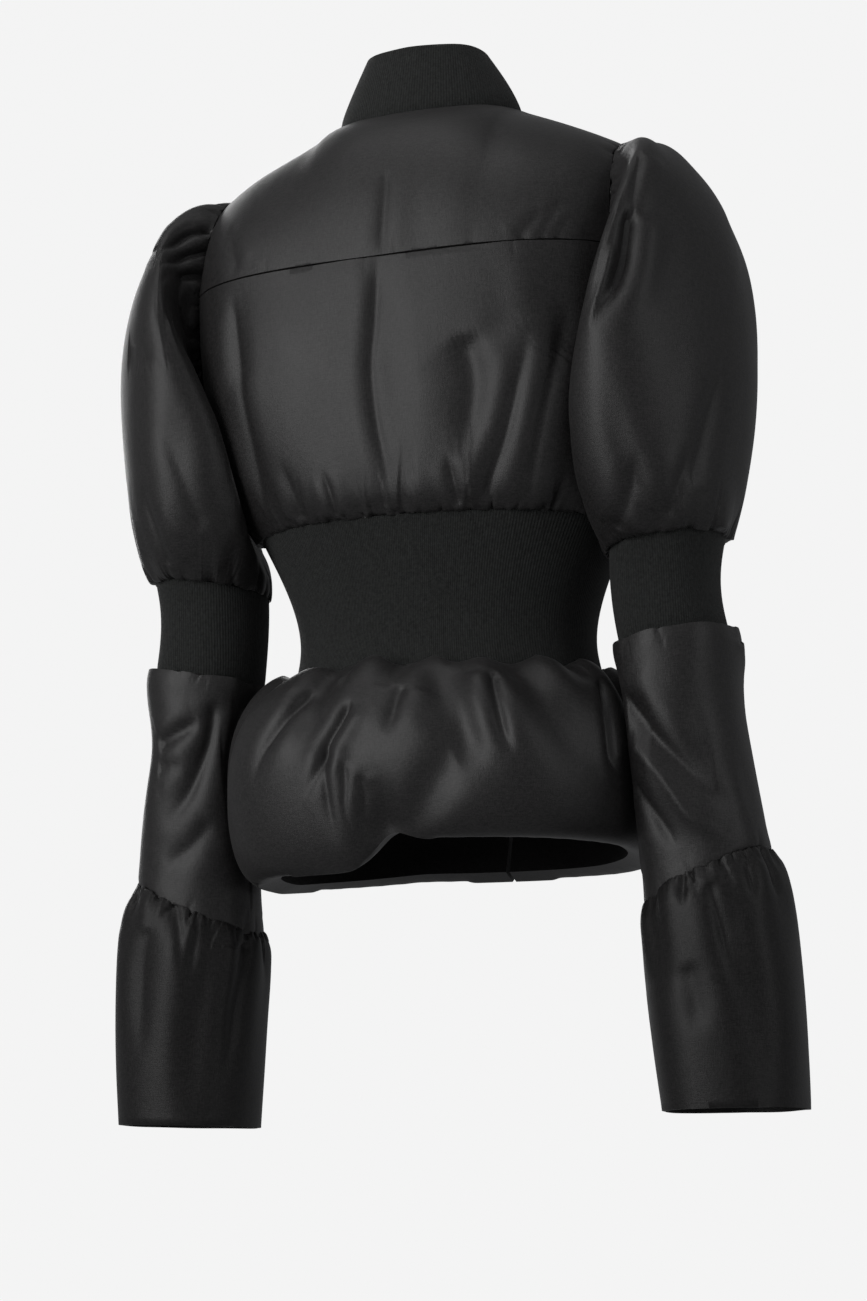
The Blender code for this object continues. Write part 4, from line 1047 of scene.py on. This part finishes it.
class JACKET_OT_zip(bpy.types.Operator):
    """The closed zip: two rows of meshed metal teeth on their tape, the slider and the pull"""

    bl_idname = "jacket.zip"
    bl_label = "Zip"

    def execute(self, context):
        strip_at, low, high = zip_rows()
        low, high = low + CHAIN_END, high - CHAIN_END
        tooth, shape = zip_tooth()
        blocks, faces = [], []
        for level in np.arange(low + 0.001, high - 0.001, TOOTH_PITCH / 2):
            side = 1 if len(blocks) % 2 else -1
            middle, near, _ = strip_at(level)
            block = shape.copy()
            block[:, 0] = side * (TOOTH_OUT - block[:, 0]) + middle
            block[:, 1] += near + TOOTH_IN
            block[:, 2] += level
            first = len(blocks) * len(shape)
            blocks.append(block)
            for face in tooth.data.polygons:
                face = tuple(first + corner for corner in face.vertices)
                faces.append(face if side < 0 else face[::-1])
        tape, tape_faces = zip_tape(strip_at, low, high, len(blocks) * len(shape))
        mesh = bpy.data.meshes.new("zip_teeth")
        mesh.from_pydata(np.concatenate([*blocks, tape]).tolist(), [], faces + tape_faces)
        mesh.materials.append(finish_of("metal"))
        mesh.materials.append(finish_of("tape"))
        kinds = [0] * len(faces) + [1] * len(tape_faces)
        mesh.polygons.foreach_set("material_index", kinds)
        tooth.data = mesh
        take(tooth)
        bpy.ops.object.shade_smooth_by_angle(angle=TOOTH_TURN)
        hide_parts("zip_chain")
        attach(tooth, BODY)
        for node in ("zip_slider", "zip_pull"):
            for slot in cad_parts[node].material_slots:
                slot.material = finish_of("metal")
        return {"FINISHED"}


FLOOR_RADIUS, CURVE_RADIUS, WALL_HEIGHT, CURVE_STEPS = 5.0, 2.0, 3.0, 12
LAMP_AIM = Vector((0, 0, -0.36))
# Each softbox: its place, its size, and its power as a share of the main light's
SOFTBOXES = {
    "key": ((1.15, 2.15, 0.05), (1.5, 2.2), 1.0),
    "top": ((0.3, 0.9, 1.9), (1.8, 1.2), 0.25),
    "fill": ((-2.3, 0.8, 0.1), (0.9, 2.0), 0.20),
    "front": ((1.7, -2.0, 0.7), (1.6, 2.0), 0.95),
}
VIEW_AZIMUTH, VIEW_RISE, VIEW_DISTANCE = math.radians(202.0), math.radians(-9.5), 2.535
VIEW_AIM, VIEW_LENS, VIEW_SENSOR = Vector((0, 0, -0.39)), 91.31, 36


class JACKET_OT_stage(bpy.types.Operator):
    """A pale floor that curves up into a round backdrop, soft lights, and the camera"""

    bl_idname = "jacket.stage"
    bl_label = "Stage"

    def execute(self, context):
        stage = context.scene.jacket_stage
        bowl = self.bowl(stage.floor_height)
        material, _, shader = new_material("pale_backdrop")
        give(shader, {
            "Base Color": (0.10, 0.10, 0.10, 1), "Roughness": 0.9, "Specular IOR Level": 0.1,
            "Emission Color": (*stage.backdrop_colour, 1), "Emission Strength": stage.backdrop_glow,
        })
        bowl.data.materials.append(material)
        # The backdrop is seen, and the jacket is lit by the lamps and the room alone
        bowl.visible_diffuse = bowl.visible_glossy = False

        world = bpy.data.worlds.new("studio")
        context.scene.world = world
        world.use_nodes = True
        give(world.node_tree.nodes["Background"], {
            "Color": (0.97, 0.98, 1.0, 1), "Strength": stage.sky_light,
        })
        for name, (place, size, share) in SOFTBOXES.items():
            self.softbox(name, place, size, stage.key_light * share)
        self.camera()
        context.scene.view_settings.view_transform = "Standard"
        return {"FINISHED"}

    @staticmethod
    def bowl(floor):
        """The floor, a quarter-round curve and an upright wall."""
        deselect()
        bpy.ops.mesh.primitive_circle_add(
            vertices=128, radius=FLOOR_RADIUS, fill_type="NGON", location=(0, 0, floor)
        )
        bowl = bpy.context.object
        bowl.name = "stage_floor"
        edit(bowl)
        turns = [step / CURVE_STEPS * math.pi / 2 for step in range(CURVE_STEPS + 1)]
        rings = [FLOOR_RADIUS + CURVE_RADIUS * math.sin(turn) for turn in turns]
        for step in range(CURVE_STEPS):
            grown = rings[step + 1] / rings[step]
            rise = CURVE_RADIUS * (math.cos(turns[step]) - math.cos(turns[step + 1]))
            bpy.ops.mesh.extrude_region_move(TRANSFORM_OT_translate={"value": (0, 0, rise)})
            bpy.ops.transform.resize(value=(grown, grown, 1))
        bpy.ops.mesh.extrude_region_move(TRANSFORM_OT_translate={"value": (0, 0, WALL_HEIGHT)})
        bpy.ops.mesh.delete(type="ONLY_FACE")
        bpy.ops.mesh.select_all(action="SELECT")
        bpy.ops.mesh.remove_doubles(threshold=0.001)
        bpy.ops.mesh.normals_make_consistent(inside=True)
        bpy.ops.object.mode_set(mode="OBJECT")
        bpy.ops.object.transform_apply(location=True, rotation=True, scale=True)
        bpy.ops.object.shade_smooth()
        return bowl

    @staticmethod
    def softbox(name, place, size, power):
        deselect()
        bpy.ops.object.light_add(type="AREA", location=place)
        lamp = bpy.context.object
        lamp.name = name
        lamp.data.shape = "RECTANGLE"
        lamp.data.size, lamp.data.size_y = size
        lamp.data.energy = power
        lamp.rotation_mode = "QUATERNION"
        lamp.rotation_quaternion = (LAMP_AIM - Vector(place)).to_track_quat("-Z", "Y")

    @staticmethod
    def camera():
        level = math.cos(VIEW_RISE)
        back = Vector((
            math.sin(VIEW_AZIMUTH) * level, -math.cos(VIEW_AZIMUTH) * level, math.sin(VIEW_RISE),
        ))
        deselect()
        bpy.ops.object.camera_add(location=VIEW_AIM + back * VIEW_DISTANCE)
        view = bpy.context.object
        view.name = "view"
        view.rotation_mode = "QUATERNION"
        view.rotation_quaternion = (-back).to_track_quat("-Z", "Y")
        view.data.lens = VIEW_LENS
        view.data.sensor_width = VIEW_SENSOR
        view.data.clip_start, view.data.clip_end = 0.05, 60
        bpy.context.scene.camera = view


class JACKET_PT_pieces(bpy.types.Panel):
    """Lists the jacket's pieces and finishes"""

    bl_idname = "JACKET_PT_pieces"
    bl_label = "Padded peplum jacket"
    bl_space_type = "VIEW_3D"
    bl_region_type = "UI"
    bl_category = "Jacket"

    def draw(self, context):
        layout = self.layout
        for kind in OPERATORS:
            layout.operator(kind.bl_idname)
        for group in (context.scene.jacket_look, context.scene.jacket_stage):
            box = layout.box()
            for name in group.bl_rna.properties.keys():
                if name not in ("rna_type", "name"):
                    box.prop(group, name)


OPERATORS = (
    JACKET_OT_body,
    JACKET_OT_upper_sleeves,
    JACKET_OT_peplum,
    JACKET_OT_lower_sleeves,
    JACKET_OT_cuffs,
    JACKET_OT_knit,
    JACKET_OT_zip,
    JACKET_OT_stage,
)
CLASSES = (JacketLook, JacketStage, *OPERATORS, JACKET_PT_pieces)


def register():
    for kind in CLASSES:
        bpy.utils.register_class(kind)
    bpy.types.Scene.jacket_look = bpy.props.PointerProperty(type=JacketLook)
    bpy.types.Scene.jacket_stage = bpy.props.PointerProperty(type=JacketStage)


def unregister():
    del bpy.types.Scene.jacket_stage
    del bpy.types.Scene.jacket_look
    for kind in reversed(CLASSES):
        bpy.utils.unregister_class(kind)


def main():
    register()
    bpy.ops.jacket.body()
    bpy.ops.jacket.upper_sleeves()
    bpy.ops.jacket.peplum()
    bpy.ops.jacket.lower_sleeves()
    bpy.ops.jacket.cuffs()
    bpy.ops.jacket.knit()
    bpy.ops.jacket.zip()
    bpy.ops.jacket.stage()


if __name__ == "__main__":
    main()
